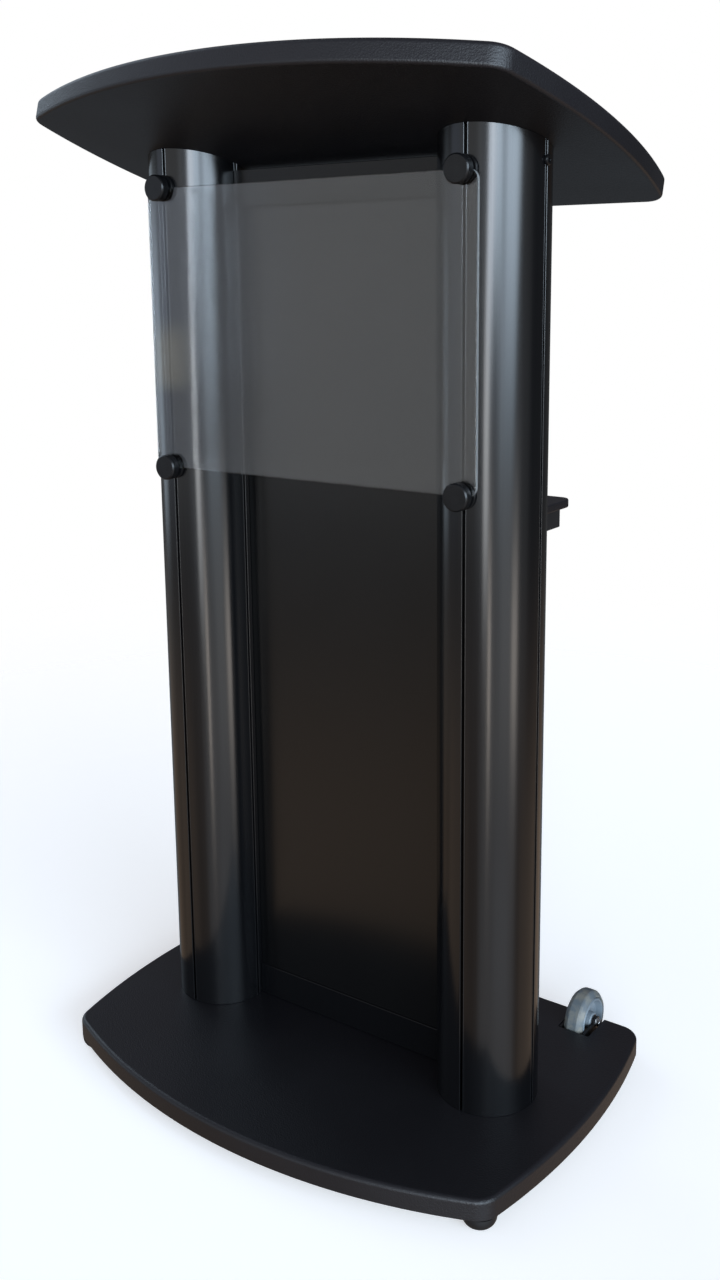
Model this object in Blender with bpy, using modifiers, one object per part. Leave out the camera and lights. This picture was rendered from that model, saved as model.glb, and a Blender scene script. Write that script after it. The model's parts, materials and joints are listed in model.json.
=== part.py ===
"""Presentation lectern: two round slotted columns between a flat base board and a sloped top board.

World frame: +Z up, -Y towards the audience, +Y towards the speaker, X across the lectern.
The origin is on the floor, under the middle of the lectern.
"""
import math

import bmesh
import bpy
from mathutils import Vector

MM = 0.001

# Clearance kept between neighbouring solids, and around the wheels' axles
GAP = 0.3 * MM
RUNNING_GAP = 0.07 * MM

# Board plan, shared by the base board and the top board
PLAN_HALF_WIDTH = 283.0 * MM
PLAN_SIDE_LENGTH = 356.0 * MM
PLAN_FRONT_BOW = 62.5 * MM
PLAN_SIDE_BOW = 21.2 * MM
PLAN_FRONT_RADIUS = 28.0 * MM
PLAN_BACK_RADIUS = 24.0 * MM
BOARD_THICKNESS = 23.0 * MM
BOARD_ARRIS = 5.0 * MM

# Heights above the floor
FOOT_HEIGHT = 15.0 * MM
BASE_TOP = FOOT_HEIGHT + BOARD_THICKNESS

# Columns
COLUMN_RADIUS = 55.0 * MM
COLUMN_WALL = 3.0 * MM
COLUMN_X = 190.0 * MM
COLUMN_Y = 1.8 * MM
BASE_BACK_Y = COLUMN_Y + 195.5 * MM
COLUMN_FRONT_TOP = BASE_TOP + 1011.8 * MM
SLOPE = math.radians(15.4)

# T-slots in the columns
SLOT_HALF_NECK = 2.3 * MM
SLOT_NECK_DEPTH = 3.5 * MM
SLOT_LIP_RADIUS = 0.9 * MM
SLOT_HALF_CAVITY = 5.5 * MM
SLOT_DEPTH = 9.5 * MM
SLOT_BOSS_WALL = 2.5 * MM
SLOT_BOSS_DRAFT = 0.3 * MM

# Top board, in the slope frame (origin at the front top edge of the columns)
TOP_BACK_V = 253.0 * MM

# Rails and centre panel
RAIL_FRONT = COLUMN_Y + 6.8 * MM
TOP_RAIL_FRONT = COLUMN_Y - 3.5 * MM
RAIL_FRONT_LEG = 2.0 * MM
RAIL_BACK_LEG = 7.0 * MM
RAIL_WEB = 2.5 * MM
RAIL_HEIGHT = 39.0 * MM
PANEL_THICKNESS = 6.0 * MM
PANEL_FRONT = RAIL_FRONT + RAIL_FRONT_LEG + GAP
PANEL_BACK = PANEL_FRONT + PANEL_THICKNESS
RAIL_BACK = PANEL_BACK + GAP + RAIL_BACK_LEG
BOTTOM_RAIL_BOTTOM = BASE_TOP + GAP
TOP_RAIL_BOTTOM = BASE_TOP + 949.5 * MM
RAIL_PIN_RADIUS = 2.8 * MM
RAIL_PIN_Y = RAIL_BACK - RAIL_BACK_LEG / 2
RAIL_PIN_END_X = COLUMN_X - 42.0 * MM
PANEL_SCREW_X = 95.0 * MM

# Clear front plate and its standoffs
STANDOFF_LOW = BASE_TOP + 664.9 * MM
STANDOFF_HIGH = BASE_TOP + 969.6 * MM
STANDOFF_RADIUS = 14.0 * MM
SPACER_THICKNESS = 3.2 * MM
PLATE_THICKNESS = 4.5 * MM
PLATE_HALF_WIDTH = 208.0 * MM
PLATE_CORNER_RADIUS = 10.0 * MM
PLATE_NOTCH_RADIUS = 2.6 * MM
CAP_THICKNESS = 9.4 * MM
CAP_CHAMFER = 1.6 * MM
STUD_RADIUS = 1.95 * MM
NUT_HALF_WIDTH = 5.1 * MM
NUT_THICKNESS = 5.0 * MM
NUT_HALF_HEIGHT = 7.0 * MM

# Plugs in the column ends, and the bolts through them
PLUG_HEIGHT = 34.0 * MM
TOP_PLUG_BOTTOM = COLUMN_FRONT_TOP - 65.0 * MM
PLUG_CLEARANCE = 0.4 * MM
BOLT_RADIUS = 5.0 * MM
BOLT_HEAD_RADIUS = 9.0 * MM
BOLT_HEAD_HEIGHT = 6.0 * MM
LOCK_SCREW_Z = BASE_TOP + 978.0 * MM
LOCK_HEAD_RADIUS = 5.2 * MM
LOCK_HEAD_HEIGHT = 3.0 * MM

# Feet
FOOT_RADIUS = 18.0 * MM
FOOT_FLAT_RADIUS = 8.0 * MM
FOOT_PEG_RADIUS = 4.0 * MM
FOOT_PEG_LENGTH = 10.0 * MM
FRONT_FOOT = (266.5 * MM, COLUMN_Y - 146.8 * MM)
BACK_FOOT = (262.5 * MM, COLUMN_Y + 164.2 * MM)

# Wheels
WHEEL_RADIUS = 34.5 * MM
WHEEL_X = 217.0 * MM
WHEEL_Y = COLUMN_Y + 185.0 * MM
WHEEL_Z = 36.0 * MM
WHEEL_HALF_WIDTH = 12.0 * MM
CORE_RADIUS = 26.5 * MM
AXLE_RADIUS = 3.0 * MM
BUSH_RADIUS = 6.0 * MM
NOTCH_INNER_X = 200.5 * MM
NOTCH_OUTER_X = 240.0 * MM
NOTCH_FRONT_Y = WHEEL_Y - 37.0 * MM
BRACKET_THICKNESS = 2.4 * MM
EAR_INNER_X = 201.2 * MM
EAR_OUTER_X = 231.2 * MM
EAR_LOBE_RADIUS = 7.0 * MM

# Rear shelf
SHELF_BOTTOM = BASE_TOP + 624.5 * MM
SHELF_THICKNESS = 9.5 * MM
SHELF_HALF_WIDTH = 205.0 * MM
SHELF_FRONT = COLUMN_Y + 25.0 * MM
SHELF_BACK = COLUMN_Y + 149.0 * MM
SHELF_CORNER_RADIUS = 12.0 * MM
ARM_SIZE = 20.0 * MM
ARM_BACK = COLUMN_Y + 130.5 * MM

# Paper stop on the reading face, in the slope frame
STOP_HALF_LENGTH = 180.0 * MM
STOP_V = 236.0 * MM
STOP_THICKNESS = 8.0 * MM
STOP_HEIGHT = 12.0 * MM
STOP_PEG_X = 140.0 * MM

ROUND_STEPS = 40
SMALL_STEPS = 20
SIDES = {"left": -1, "right": 1}


# ---------------------------------------------------------------- scene and materials

def empty_scene():
    """Remove every object and make the two collections."""
    for item in list(bpy.data.objects):
        bpy.data.objects.remove(item, do_unlink=True)
    for name in ("presentation_lectern", "cutters"):
        if name not in bpy.data.collections:
            collection = bpy.data.collections.new(name)
            bpy.context.scene.collection.children.link(collection)


def make_material(name, color, roughness, metallic, alpha=1.0):
    """Make a plain Principled material."""
    material = bpy.data.materials.new(name)
    material.use_nodes = True
    shader = material.node_tree.nodes["Principled BSDF"]
    shader.inputs["Base Color"].default_value = (*color, 1.0)
    shader.inputs["Roughness"].default_value = roughness
    shader.inputs["Metallic"].default_value = metallic
    shader.inputs["Alpha"].default_value = alpha
    return material


def make_materials():
    """The finishes of the real lectern, by name."""
    return {
        "board": make_material("black_textured_board", (0.022, 0.023, 0.025), 0.48, 0.0),
        "column": make_material("black_anodised_aluminium", (0.035, 0.037, 0.042), 0.3, 0.9),
        "panel": make_material("black_satin_panel", (0.014, 0.015, 0.016), 0.25, 0.0),
        "acrylic": make_material("clear_acrylic", (0.85, 0.88, 0.9), 0.04, 0.0, 0.25),
        "standoff": make_material("black_metal_fitting", (0.03, 0.031, 0.033), 0.32, 0.6),
        "steel": make_material("zinc_plated_steel", (0.62, 0.62, 0.6), 0.35, 1.0),
        "bracket": make_material("black_coated_steel", (0.02, 0.02, 0.022), 0.5, 0.3),
        "tyre": make_material("grey_rubber_tyre", (0.27, 0.29, 0.31), 0.6, 0.0),
        "core": make_material("grey_wheel_plastic", (0.42, 0.47, 0.52), 0.42, 0.0),
        "rubber": make_material("black_rubber", (0.018, 0.018, 0.019), 0.7, 0.0),
        "nylon": make_material("black_nylon", (0.02, 0.02, 0.022), 0.5, 0.0),
    }


def finish(item, material):
    """Put a finished sub-part in the lectern's collection and give it its material."""
    for collection in list(item.users_collection):
        collection.objects.unlink(item)
    bpy.data.collections["presentation_lectern"].objects.link(item)
    item.data.materials.clear()
    item.data.materials.append(material)
    return item


def as_cutter(item):
    """Hide a Boolean operand from the finished part."""
    for collection in list(item.users_collection):
        collection.objects.unlink(item)
    bpy.data.collections["cutters"].objects.link(item)
    item.hide_render = True
    item.display_type = "WIRE"
    return item


# ---------------------------------------------------------------- modelling helpers

def mesh_object(name, bm):
    """Turn a bmesh into an object in the scene."""
    mesh = bpy.data.meshes.new(name)
    bm.to_mesh(mesh)
    bm.free()
    item = bpy.data.objects.new(name, mesh)
    bpy.context.scene.collection.objects.link(item)
    return item


def smooth(item, degrees=35.0):
    """Shade round faces smooth and keep the sharp edges."""
    item.data.shade_smooth()
    item.data.set_sharp_from_angle(angle=math.radians(degrees))


def box(name, low, high):
    """A box between two corners."""
    bm = bmesh.new()
    bmesh.ops.create_cube(bm, size=1.0)
    low = Vector(low)
    high = Vector(high)
    size = high - low
    centre = (high + low) / 2
    for vert in bm.verts:
        vert.co = Vector((vert.co.x * size.x, vert.co.y * size.y, vert.co.z * size.z)) + centre
    return mesh_object(name, bm)


def rod(name, radius, length, steps=SMALL_STEPS):
    """A cylinder along local Z, from 0 to its length."""
    bm = bmesh.new()
    bmesh.ops.create_cone(
        bm, cap_ends=True, segments=steps, radius1=radius, radius2=radius, depth=length)
    bmesh.ops.translate(bm, verts=bm.verts, vec=(0.0, 0.0, length / 2))
    return mesh_object(name, bm)


def turned(name, profile, steps=ROUND_STEPS, closed=False):
    """Turn a profile of (radius, height) points, listed down its outer side, about local Z."""
    mesh = bpy.data.meshes.new(name)
    points = [(radius, 0.0, height) for radius, height in profile]
    edges = [(i, i + 1) for i in range(len(points) - 1)]
    if closed:
        edges.append((len(points) - 1, 0))
    mesh.from_pydata(points, edges, [])
    item = bpy.data.objects.new(name, mesh)
    bpy.context.scene.collection.objects.link(item)
    screw = item.modifiers.new("turn", "SCREW")
    screw.axis = "Z"
    screw.steps = steps
    screw.render_steps = steps
    screw.use_merge_vertices = True
    screw.merge_threshold = 0.00001
    screw.use_smooth_shade = True
    return item


def flat_solid(name, loops, thickness):
    """Extrude closed outlines (the first is the rim, the others are holes) up local Z from 0."""
    curve = bpy.data.curves.new(name, "CURVE")
    curve.dimensions = "2D"
    curve.fill_mode = "BOTH"
    curve.extrude = thickness / 2
    for loop in loops:
        spline = curve.splines.new("POLY")
        spline.points.add(len(loop) - 1)
        for point, (x, y) in zip(spline.points, loop):
            point.co = (x, y, 0.0, 1.0)
        spline.use_cyclic_u = True
    flat = bpy.data.objects.new(name + "_outline", curve)
    bpy.context.scene.collection.objects.link(flat)
    bpy.context.view_layer.update()
    evaluated = flat.evaluated_get(bpy.context.evaluated_depsgraph_get())
    mesh = bpy.data.meshes.new_from_object(evaluated)
    bpy.data.objects.remove(flat, do_unlink=True)
    bpy.data.curves.remove(curve)
    bm = bmesh.new()
    bm.from_mesh(mesh)
    bpy.data.meshes.remove(mesh)
    bmesh.ops.remove_doubles(bm, verts=bm.verts, dist=0.000001)
    bmesh.ops.dissolve_limit(
        bm, angle_limit=math.radians(0.05), verts=bm.verts, edges=bm.edges,
        use_dissolve_boundaries=False)
    bmesh.ops.translate(bm, verts=bm.verts, vec=(0.0, 0.0, thickness / 2))
    bmesh.ops.recalc_face_normals(bm, faces=bm.faces)
    return mesh_object(name, bm)


def round_rim(item, height, radius, segments=3):
    """Round the rim edges of a flat solid that lie at one height."""
    bm = bmesh.new()
    bm.from_mesh(item.data)
    rim = [
        edge for edge in bm.edges
        if all(abs(vert.co.z - height) < 0.00001 for vert in edge.verts)
        and edge.calc_face_angle(0.0) > math.radians(45.0)]
    bmesh.ops.bevel(
        bm, geom=rim, offset=radius, offset_type="OFFSET", segments=segments, profile=0.5,
        affect="EDGES", clamp_overlap=True)
    bm.to_mesh(item.data)
    bm.free()


def boolean(item, operand, operation="DIFFERENCE"):
    """Cut an operand from an item, or join it on."""
    as_cutter(operand)
    modifier = item.modifiers.new(operation.lower(), "BOOLEAN")
    modifier.operation = operation
    modifier.solver = "EXACT"
    modifier.object = operand


def bevel(item, width, segments=2, degrees=40.0):
    """Round every sharp edge of a mesh."""
    modifier = item.modifiers.new("rounded_edges", "BEVEL")
    modifier.width = width
    modifier.segments = segments
    modifier.limit_method = "ANGLE"
    modifier.angle_limit = math.radians(degrees)


def along_y(item, x, y, z, back=True):
    """Point an item's local Z along +Y, or along -Y, from a place."""
    item.rotation_euler = (math.radians(-90.0 if back else 90.0), 0.0, 0.0)
    item.location = (x, y, z)
    return item


def along_x(item, x, y, z, side):
    """Point an item's local Z along +X on the right side, or along -X on the left."""
    item.rotation_euler = (0.0, math.radians(90.0 * side), 0.0)
    item.location = (x, y, z)
    return item


def parented(item, parent):
    """Place an item in its parent's frame."""
    item.parent = parent
    return item


# ---------------------------------------------------------------- outlines

def arc(centre, radius, start, end, count):
    """Points on a circle from one angle to another."""
    points = []
    for i in range(count + 1):
        angle = start + (end - start) * i / count
        points.append((centre[0] + radius * math.cos(angle), centre[1] + radius * math.sin(angle)))
    return points


def bearing(origin, target):
    """Angle of the line from one point to another."""
    return math.atan2(target[1] - origin[1], target[0] - origin[0])


def circles_meet(first, first_radius, second, second_radius):
    """The meeting point of two circles that is nearer to the front right."""
    dx = second[0] - first[0]
    dy = second[1] - first[1]
    distance = math.hypot(dx, dy)
    along = (first_radius ** 2 - second_radius ** 2 + distance ** 2) / (2 * distance)
    across = math.sqrt(first_radius ** 2 - along ** 2)
    middle = (first[0] + along * dx / distance, first[1] + along * dy / distance)
    options = [
        (middle[0] + sign * across * dy / distance, middle[1] - sign * across * dx / distance)
        for sign in (1, -1)]
    return max(options, key=lambda point: point[0] - point[1])


def board_plan(back):
    """Outline of a board: straight back edge, bowed sides and front, rounded corners."""
    near = PLAN_FRONT_RADIUS
    far = PLAN_BACK_RADIUS
    front_corner = back - PLAN_SIDE_LENGTH
    front_radius = (PLAN_HALF_WIDTH ** 2 + PLAN_FRONT_BOW ** 2) / (2 * PLAN_FRONT_BOW)
    side_radius = ((PLAN_SIDE_LENGTH / 2) ** 2 + PLAN_SIDE_BOW ** 2) / (2 * PLAN_SIDE_BOW)
    front_centre = (0.0, front_corner - PLAN_FRONT_BOW + front_radius)
    side_centre = (PLAN_HALF_WIDTH + PLAN_SIDE_BOW - side_radius, back - PLAN_SIDE_LENGTH / 2)
    front_round = circles_meet(front_centre, front_radius - near, side_centre, side_radius - near)
    back_rise = back - far - side_centre[1]
    back_round = (
        side_centre[0] + math.sqrt((side_radius - far) ** 2 - back_rise ** 2), back - far)
    front_turn = bearing(front_centre, front_round)
    side_start = bearing(side_centre, front_round)
    side_end = bearing(side_centre, back_round)
    right = arc(front_centre, front_radius, math.radians(-90.0), front_turn, 14)
    right += arc(front_round, near, front_turn, side_start, 6)[1:]
    right += arc(side_centre, side_radius, side_start, side_end, 14)[1:]
    right += arc(back_round, far, side_end, math.radians(90.0), 7)[1:]
    left = [(-x, y) for x, y in reversed(right[1:])]
    return right + left


def rounded_rectangle(low, high, radius, corners=(True, True, True, True), steps=6):
    """Counter-clockwise rectangle; each flagged corner (from the low-low one) is rounded."""
    places = [
        ((low[0], low[1]), (1, 1), 180.0),
        ((high[0], low[1]), (-1, 1), 270.0),
        ((high[0], high[1]), (-1, -1), 0.0),
        ((low[0], high[1]), (1, -1), 90.0)]
    points = []
    for (corner, inward, start), is_round in zip(places, corners):
        if is_round:
            centre = (corner[0] + inward[0] * radius, corner[1] + inward[1] * radius)
            points += arc(centre, radius, math.radians(start), math.radians(start + 90.0), steps)
        else:
            points.append(corner)
    return points


def quarter_turns(points):
    """Repeat a quarter of an outline four times about the centre."""
    outline = []
    for quarter in range(4):
        turn = math.radians(90.0 * quarter)
        for x, y in points:
            outline.append((
                x * math.cos(turn) - y * math.sin(turn),
                x * math.sin(turn) + y * math.cos(turn)))
    return outline


def column_outline():
    """Outer outline of the extrusion: a circle with a T-slot facing each quarter."""
    neck = SLOT_HALF_NECK
    lip = SLOT_LIP_RADIUS
    edge_angle = math.asin((neck + lip) / COLUMN_RADIUS)
    lip_x = COLUMN_RADIUS * math.cos(edge_angle) - lip
    neck_bottom = COLUMN_RADIUS - SLOT_NECK_DEPTH
    floor = COLUMN_RADIUS - SLOT_DEPTH
    upper = arc((lip_x, neck + lip), lip, 0.0, math.radians(-90.0), 2)
    lower = [(x, -y) for x, y in upper]
    slot = lower + [
        (neck_bottom, -neck), (neck_bottom, -SLOT_HALF_CAVITY), (floor, -SLOT_HALF_CAVITY),
        (floor, SLOT_HALF_CAVITY), (neck_bottom, SLOT_HALF_CAVITY), (neck_bottom, neck)] + upper[::-1]
    start = bearing((0.0, 0.0), upper[0])
    rim = arc((0.0, 0.0), COLUMN_RADIUS, start, math.radians(90.0) - start, 16)[1:-1]
    return quarter_turns(slot + rim)


def chamber_outline(inset):
    """Inner outline of the extrusion, shrunk by an inset: a circle with a boss behind each slot."""
    radius = COLUMN_RADIUS - COLUMN_WALL - inset
    half_boss = SLOT_HALF_CAVITY + SLOT_BOSS_WALL + inset
    boss_face = COLUMN_RADIUS - SLOT_DEPTH - SLOT_BOSS_WALL - inset
    start = math.asin((half_boss + SLOT_BOSS_DRAFT) / radius)
    boss = [(boss_face, -half_boss), (boss_face, half_boss)]
    rim = arc((0.0, 0.0), radius, start, math.radians(90.0) - start, 8)
    return quarter_turns(boss + rim)


# ---------------------------------------------------------------- structure

def slope_frame():
    """Empty whose XY plane is the underside of the top board."""
    empty = bpy.data.objects.new("slope_frame", None)
    bpy.data.collections["cutters"].objects.link(empty)
    empty.location = (0.0, COLUMN_Y - COLUMN_RADIUS, COLUMN_FRONT_TOP)
    empty.rotation_euler = (-SLOPE, 0.0, 0.0)
    return empty


def mitre_cutter(slope):
    """Everything above the underside of the top board."""
    reach = 0.4
    cutter = box("mitre", (-reach, -reach, -GAP), (reach, reach, reach))
    return parented(cutter, slope)


def top_bolt_hole(side, slope):
    """Tilted bore through a top plug into the underside of the top board."""
    radius = BOLT_RADIUS + GAP
    hole = rod("top_bolt_hole", radius, 0.095)
    hole.location = (side * COLUMN_X, COLUMN_RADIUS / math.cos(SLOPE), -0.08)
    return parented(hole, slope)


def build_base_board(finish_with):
    board = flat_solid("base_board", [board_plan(BASE_BACK_Y)], BOARD_THICKNESS)
    round_rim(board, BOARD_THICKNESS, BOARD_ARRIS)
    smooth(board)
    board.location = (0.0, 0.0, FOOT_HEIGHT)
    for side in SIDES.values():
        inner, outer = sorted((side * NOTCH_INNER_X, side * NOTCH_OUTER_X))
        boolean(board, box("wheel_notch", (inner, NOTCH_FRONT_Y, 0.0), (outer, 0.3, 0.1)))
        bore = rod("base_bolt_hole", BOLT_RADIUS + GAP, 0.05)
        bore.location = (side * COLUMN_X, COLUMN_Y, FOOT_HEIGHT - 0.01)
        boolean(board, bore)
        seat = rod("base_bolt_seat", BOLT_HEAD_RADIUS + 2.0 * MM, 0.02)
        seat.location = (side * COLUMN_X, COLUMN_Y, FOOT_HEIGHT - 0.02 + BOLT_HEAD_HEIGHT + 2.0 * MM)
        boolean(board, seat)
        for x, y in (FRONT_FOOT, BACK_FOOT):
            peg_hole = rod("foot_peg_hole", FOOT_PEG_RADIUS + GAP, 0.02)
            peg_hole.location = (side * x, y, FOOT_HEIGHT - 0.02 + FOOT_PEG_LENGTH + GAP)
            boolean(board, peg_hole)
        for x, y in bracket_screw_places():
            pilot = rod("bracket_screw_pilot", 2.2 * MM, 0.02)
            pilot.location = (side * x, y, FOOT_HEIGHT - 0.02 + 12.0 * MM)
            boolean(board, pilot)
    finish(board, finish_with["board"])


def build_top_board(slope, finish_with):
    board = flat_solid("top_board", [board_plan(TOP_BACK_V)], BOARD_THICKNESS)
    round_rim(board, BOARD_THICKNESS, BOARD_ARRIS)
    round_rim(board, 0.0, 2.0 * MM, 2)
    smooth(board)
    parented(board, slope)
    for side in SIDES.values():
        boolean(board, top_bolt_hole(side, slope))
        peg_hole = rod("stop_peg_hole", 4.3 * MM, 0.02)
        peg_hole.location = (side * STOP_PEG_X, STOP_V, BOARD_THICKNESS - 9.3 * MM)
        boolean(board, parented(peg_hole, slope))
    finish(board, finish_with["board"])


def build_paper_stop(slope, finish_with):
    half = STOP_THICKNESS / 2
    bottom = BOARD_THICKNESS + GAP
    stop = box(
        "paper_stop", (-STOP_HALF_LENGTH, STOP_V - half, bottom),
        (STOP_HALF_LENGTH, STOP_V + half, bottom + STOP_HEIGHT))
    bevel(stop, 1.5 * MM)
    parented(stop, slope)
    for side in SIDES.values():
        peg = rod("stop_peg", 4.0 * MM, 12.0 * MM)
        peg.location = (side * STOP_PEG_X, STOP_V, BOARD_THICKNESS - 9.0 * MM)
        boolean(stop, parented(peg, slope), "UNION")
    finish(stop, finish_with["board"])


def lock_screw_hole(side):
    """Bore behind the outer slot, through the boss wall and into the top plug."""
    hole = rod("lock_screw_hole", 2.2 * MM, 0.022)
    start = side * (COLUMN_X + COLUMN_RADIUS - 8.0 * MM)
    return along_x(hole, start, COLUMN_Y, LOCK_SCREW_Z, -side)


def build_columns(slope, finish_with):
    """The two extrusions, square at the foot and mitred at the top."""
    for label, side in SIDES.items():
        height = COLUMN_FRONT_TOP - BASE_TOP + 0.03
        column = flat_solid(label + "_column", [column_outline(), chamber_outline(0.0)], height)
        smooth(column)
        column.location = (side * COLUMN_X, COLUMN_Y, BASE_TOP + GAP)
        boolean(column, mitre_cutter(slope))
        boolean(column, lock_screw_hole(side))
        for bottom in (BOTTOM_RAIL_BOTTOM, TOP_RAIL_BOTTOM):
            boolean(column, rail_pin_bore(side, bottom))
        finish(column, finish_with["column"])


def build_plugs(slope, finish_with):
    """Cast plugs in both ends of each column."""
    for label, side in SIDES.items():
        outline = chamber_outline(PLUG_CLEARANCE)
        low = flat_solid(label + "_bottom_plug", [outline], PLUG_HEIGHT)
        low.location = (side * COLUMN_X, COLUMN_Y, BASE_TOP + GAP)
        bore = rod("base_bolt_hole", BOLT_RADIUS + GAP, 0.1)
        bore.location = (side * COLUMN_X, COLUMN_Y, BASE_TOP - 0.02)
        boolean(low, bore)
        boolean(low, rail_pin_bore(side, BOTTOM_RAIL_BOTTOM))
        finish(low, finish_with["bracket"])
        high = flat_solid(label + "_top_plug", [outline], 0.1)
        high.location = (side * COLUMN_X, COLUMN_Y, TOP_PLUG_BOTTOM)
        boolean(high, mitre_cutter(slope))
        boolean(high, top_bolt_hole(side, slope))
        boolean(high, lock_screw_hole(side))
        boolean(high, rail_pin_bore(side, TOP_RAIL_BOTTOM))
        finish(high, finish_with["bracket"])


def build_plug_fasteners(slope, finish_with):
    """Bolts from the boards into the plugs, and the screws that lock the top plugs."""
    for label, side in SIDES.items():
        length = 50.0 * MM
        base_bolt = turned(label + "_base_bolt", [
            (0.0, length), (BOLT_RADIUS, length), (BOLT_RADIUS, 0.0), (BOLT_HEAD_RADIUS, 0.0),
            (BOLT_HEAD_RADIUS, -BOLT_HEAD_HEIGHT), (0.0, -BOLT_HEAD_HEIGHT)], SMALL_STEPS)
        seat = FOOT_HEIGHT + BOLT_HEAD_HEIGHT + 2.0 * MM - GAP
        base_bolt.location = (side * COLUMN_X, COLUMN_Y, seat)
        finish(base_bolt, finish_with["steel"])
        shank = 68.0 * MM
        top_bolt = turned(label + "_top_bolt", [
            (0.0, shank), (BOLT_RADIUS, shank), (BOLT_RADIUS, 0.0), (BOLT_HEAD_RADIUS, 0.0),
            (BOLT_HEAD_RADIUS, -BOLT_HEAD_HEIGHT), (0.0, -BOLT_HEAD_HEIGHT)], SMALL_STEPS)
        top_bolt.location = (side * COLUMN_X, COLUMN_RADIUS / math.cos(SLOPE), -55.0 * MM)
        parented(top_bolt, slope)
        finish(top_bolt, finish_with["steel"])
        screw = turned(label + "_lock_screw", [
            (0.0, LOCK_HEAD_HEIGHT), (LOCK_HEAD_RADIUS * 0.7, LOCK_HEAD_HEIGHT * 0.9),
            (LOCK_HEAD_RADIUS, LOCK_HEAD_HEIGHT * 0.45), (LOCK_HEAD_RADIUS, 0.0),
            (STUD_RADIUS, 0.0), (STUD_RADIUS, -24.0 * MM), (0.0, -24.0 * MM)], 24)
        along_x(screw, side * (COLUMN_X + COLUMN_RADIUS + GAP), COLUMN_Y, LOCK_SCREW_Z, side)
        finish(screw, finish_with["standoff"])


def column_clearance(side):
    """A column's envelope with the usual gap, for pieces that butt against it."""
    envelope = rod("column_envelope", COLUMN_RADIUS + GAP, 1.2, 96)
    envelope.location = (side * COLUMN_X, COLUMN_Y, 0.0)
    return envelope


def rail_pin_bore(side, bottom):
    """Bore for a rail's end pin, through a column's wall and into the plug behind it."""
    bore = rod("rail_pin_bore", RAIL_PIN_RADIUS + GAP, 28.0 * MM)
    start = side * (RAIL_PIN_END_X - 27.5 * MM)
    return along_x(bore, start, RAIL_PIN_Y, bottom + RAIL_HEIGHT / 2, side)


def build_rails(finish_with):
    """Channel-shaped cross rails that hold the panel's edges and are pinned to the columns."""
    channels = {
        "top_rail": (TOP_RAIL_FRONT, TOP_RAIL_BOTTOM, -1.0 * MM, RAIL_HEIGHT - RAIL_WEB),
        "bottom_rail": (RAIL_FRONT, BOTTOM_RAIL_BOTTOM, RAIL_WEB, RAIL_HEIGHT + 1.0 * MM)}
    reach = COLUMN_X - 50.0 * MM
    for name, (front, bottom, channel_low, channel_high) in channels.items():
        rail = box(name, (-reach, front, bottom), (reach, RAIL_BACK, bottom + RAIL_HEIGHT))
        boolean(rail, box(
            "channel", (-COLUMN_X, PANEL_FRONT - GAP, bottom + channel_low),
            (COLUMN_X, PANEL_BACK + GAP, bottom + channel_high)))
        middle = bottom + RAIL_HEIGHT / 2
        for side in SIDES.values():
            boolean(rail, column_clearance(side))
            pin = rod("rail_pin", RAIL_PIN_RADIUS, 18.0 * MM)
            along_x(pin, side * (RAIL_PIN_END_X - 18.0 * MM), RAIL_PIN_Y, middle, side)
            boolean(rail, pin, "UNION")
            hole = rod("panel_screw_hole", STUD_RADIUS + GAP, 12.0 * MM)
            boolean(rail, along_y(hole, side * PANEL_SCREW_X, PANEL_BACK - 1.0 * MM, middle))
        finish(rail, finish_with["column"])


def build_centre_panel(finish_with):
    """Infill panel held in the rails' channels, and the screws that fix it from behind."""
    reach = COLUMN_X - 50.0 * MM
    panel = box(
        "centre_panel", (-reach, PANEL_FRONT, BOTTOM_RAIL_BOTTOM + RAIL_WEB + GAP),
        (reach, PANEL_BACK, TOP_RAIL_BOTTOM + RAIL_HEIGHT - RAIL_WEB - GAP))
    bottoms = {"low": BOTTOM_RAIL_BOTTOM, "high": TOP_RAIL_BOTTOM}
    for label, side in SIDES.items():
        boolean(panel, column_clearance(side))
        for level, bottom in bottoms.items():
            middle = bottom + RAIL_HEIGHT / 2
            pilot = rod("panel_screw_pilot", STUD_RADIUS + GAP, 12.0 * MM)
            boolean(panel, along_y(pilot, side * PANEL_SCREW_X, PANEL_BACK - 4.7 * MM, middle))
            screw = turned("panel_screw_" + level + "_" + label, [
                (0.0, 2.2 * MM), (2.6 * MM, 1.9 * MM), (4.0 * MM, 0.8 * MM), (4.0 * MM, 0.0),
                (STUD_RADIUS, 0.0), (STUD_RADIUS, -12.0 * MM), (0.0, -12.0 * MM)], 16)
            along_y(screw, side * PANEL_SCREW_X, RAIL_BACK + GAP, middle)
            finish(screw, finish_with["standoff"])
    finish(panel, finish_with["panel"])


# ---------------------------------------------------------------- front plate

def build_slot_nut(name, x, y, z, finish_with):
    """Rectangular nut inside a front or rear slot."""
    nut = box(
        name, (x - NUT_HALF_WIDTH, y - NUT_THICKNESS / 2, z - NUT_HALF_HEIGHT),
        (x + NUT_HALF_WIDTH, y + NUT_THICKNESS / 2, z + NUT_HALF_HEIGHT))
    thread = rod("nut_thread", STUD_RADIUS + GAP, 0.02)
    boolean(nut, along_y(thread, x, y - 0.01, z))
    finish(nut, finish_with["steel"])


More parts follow.
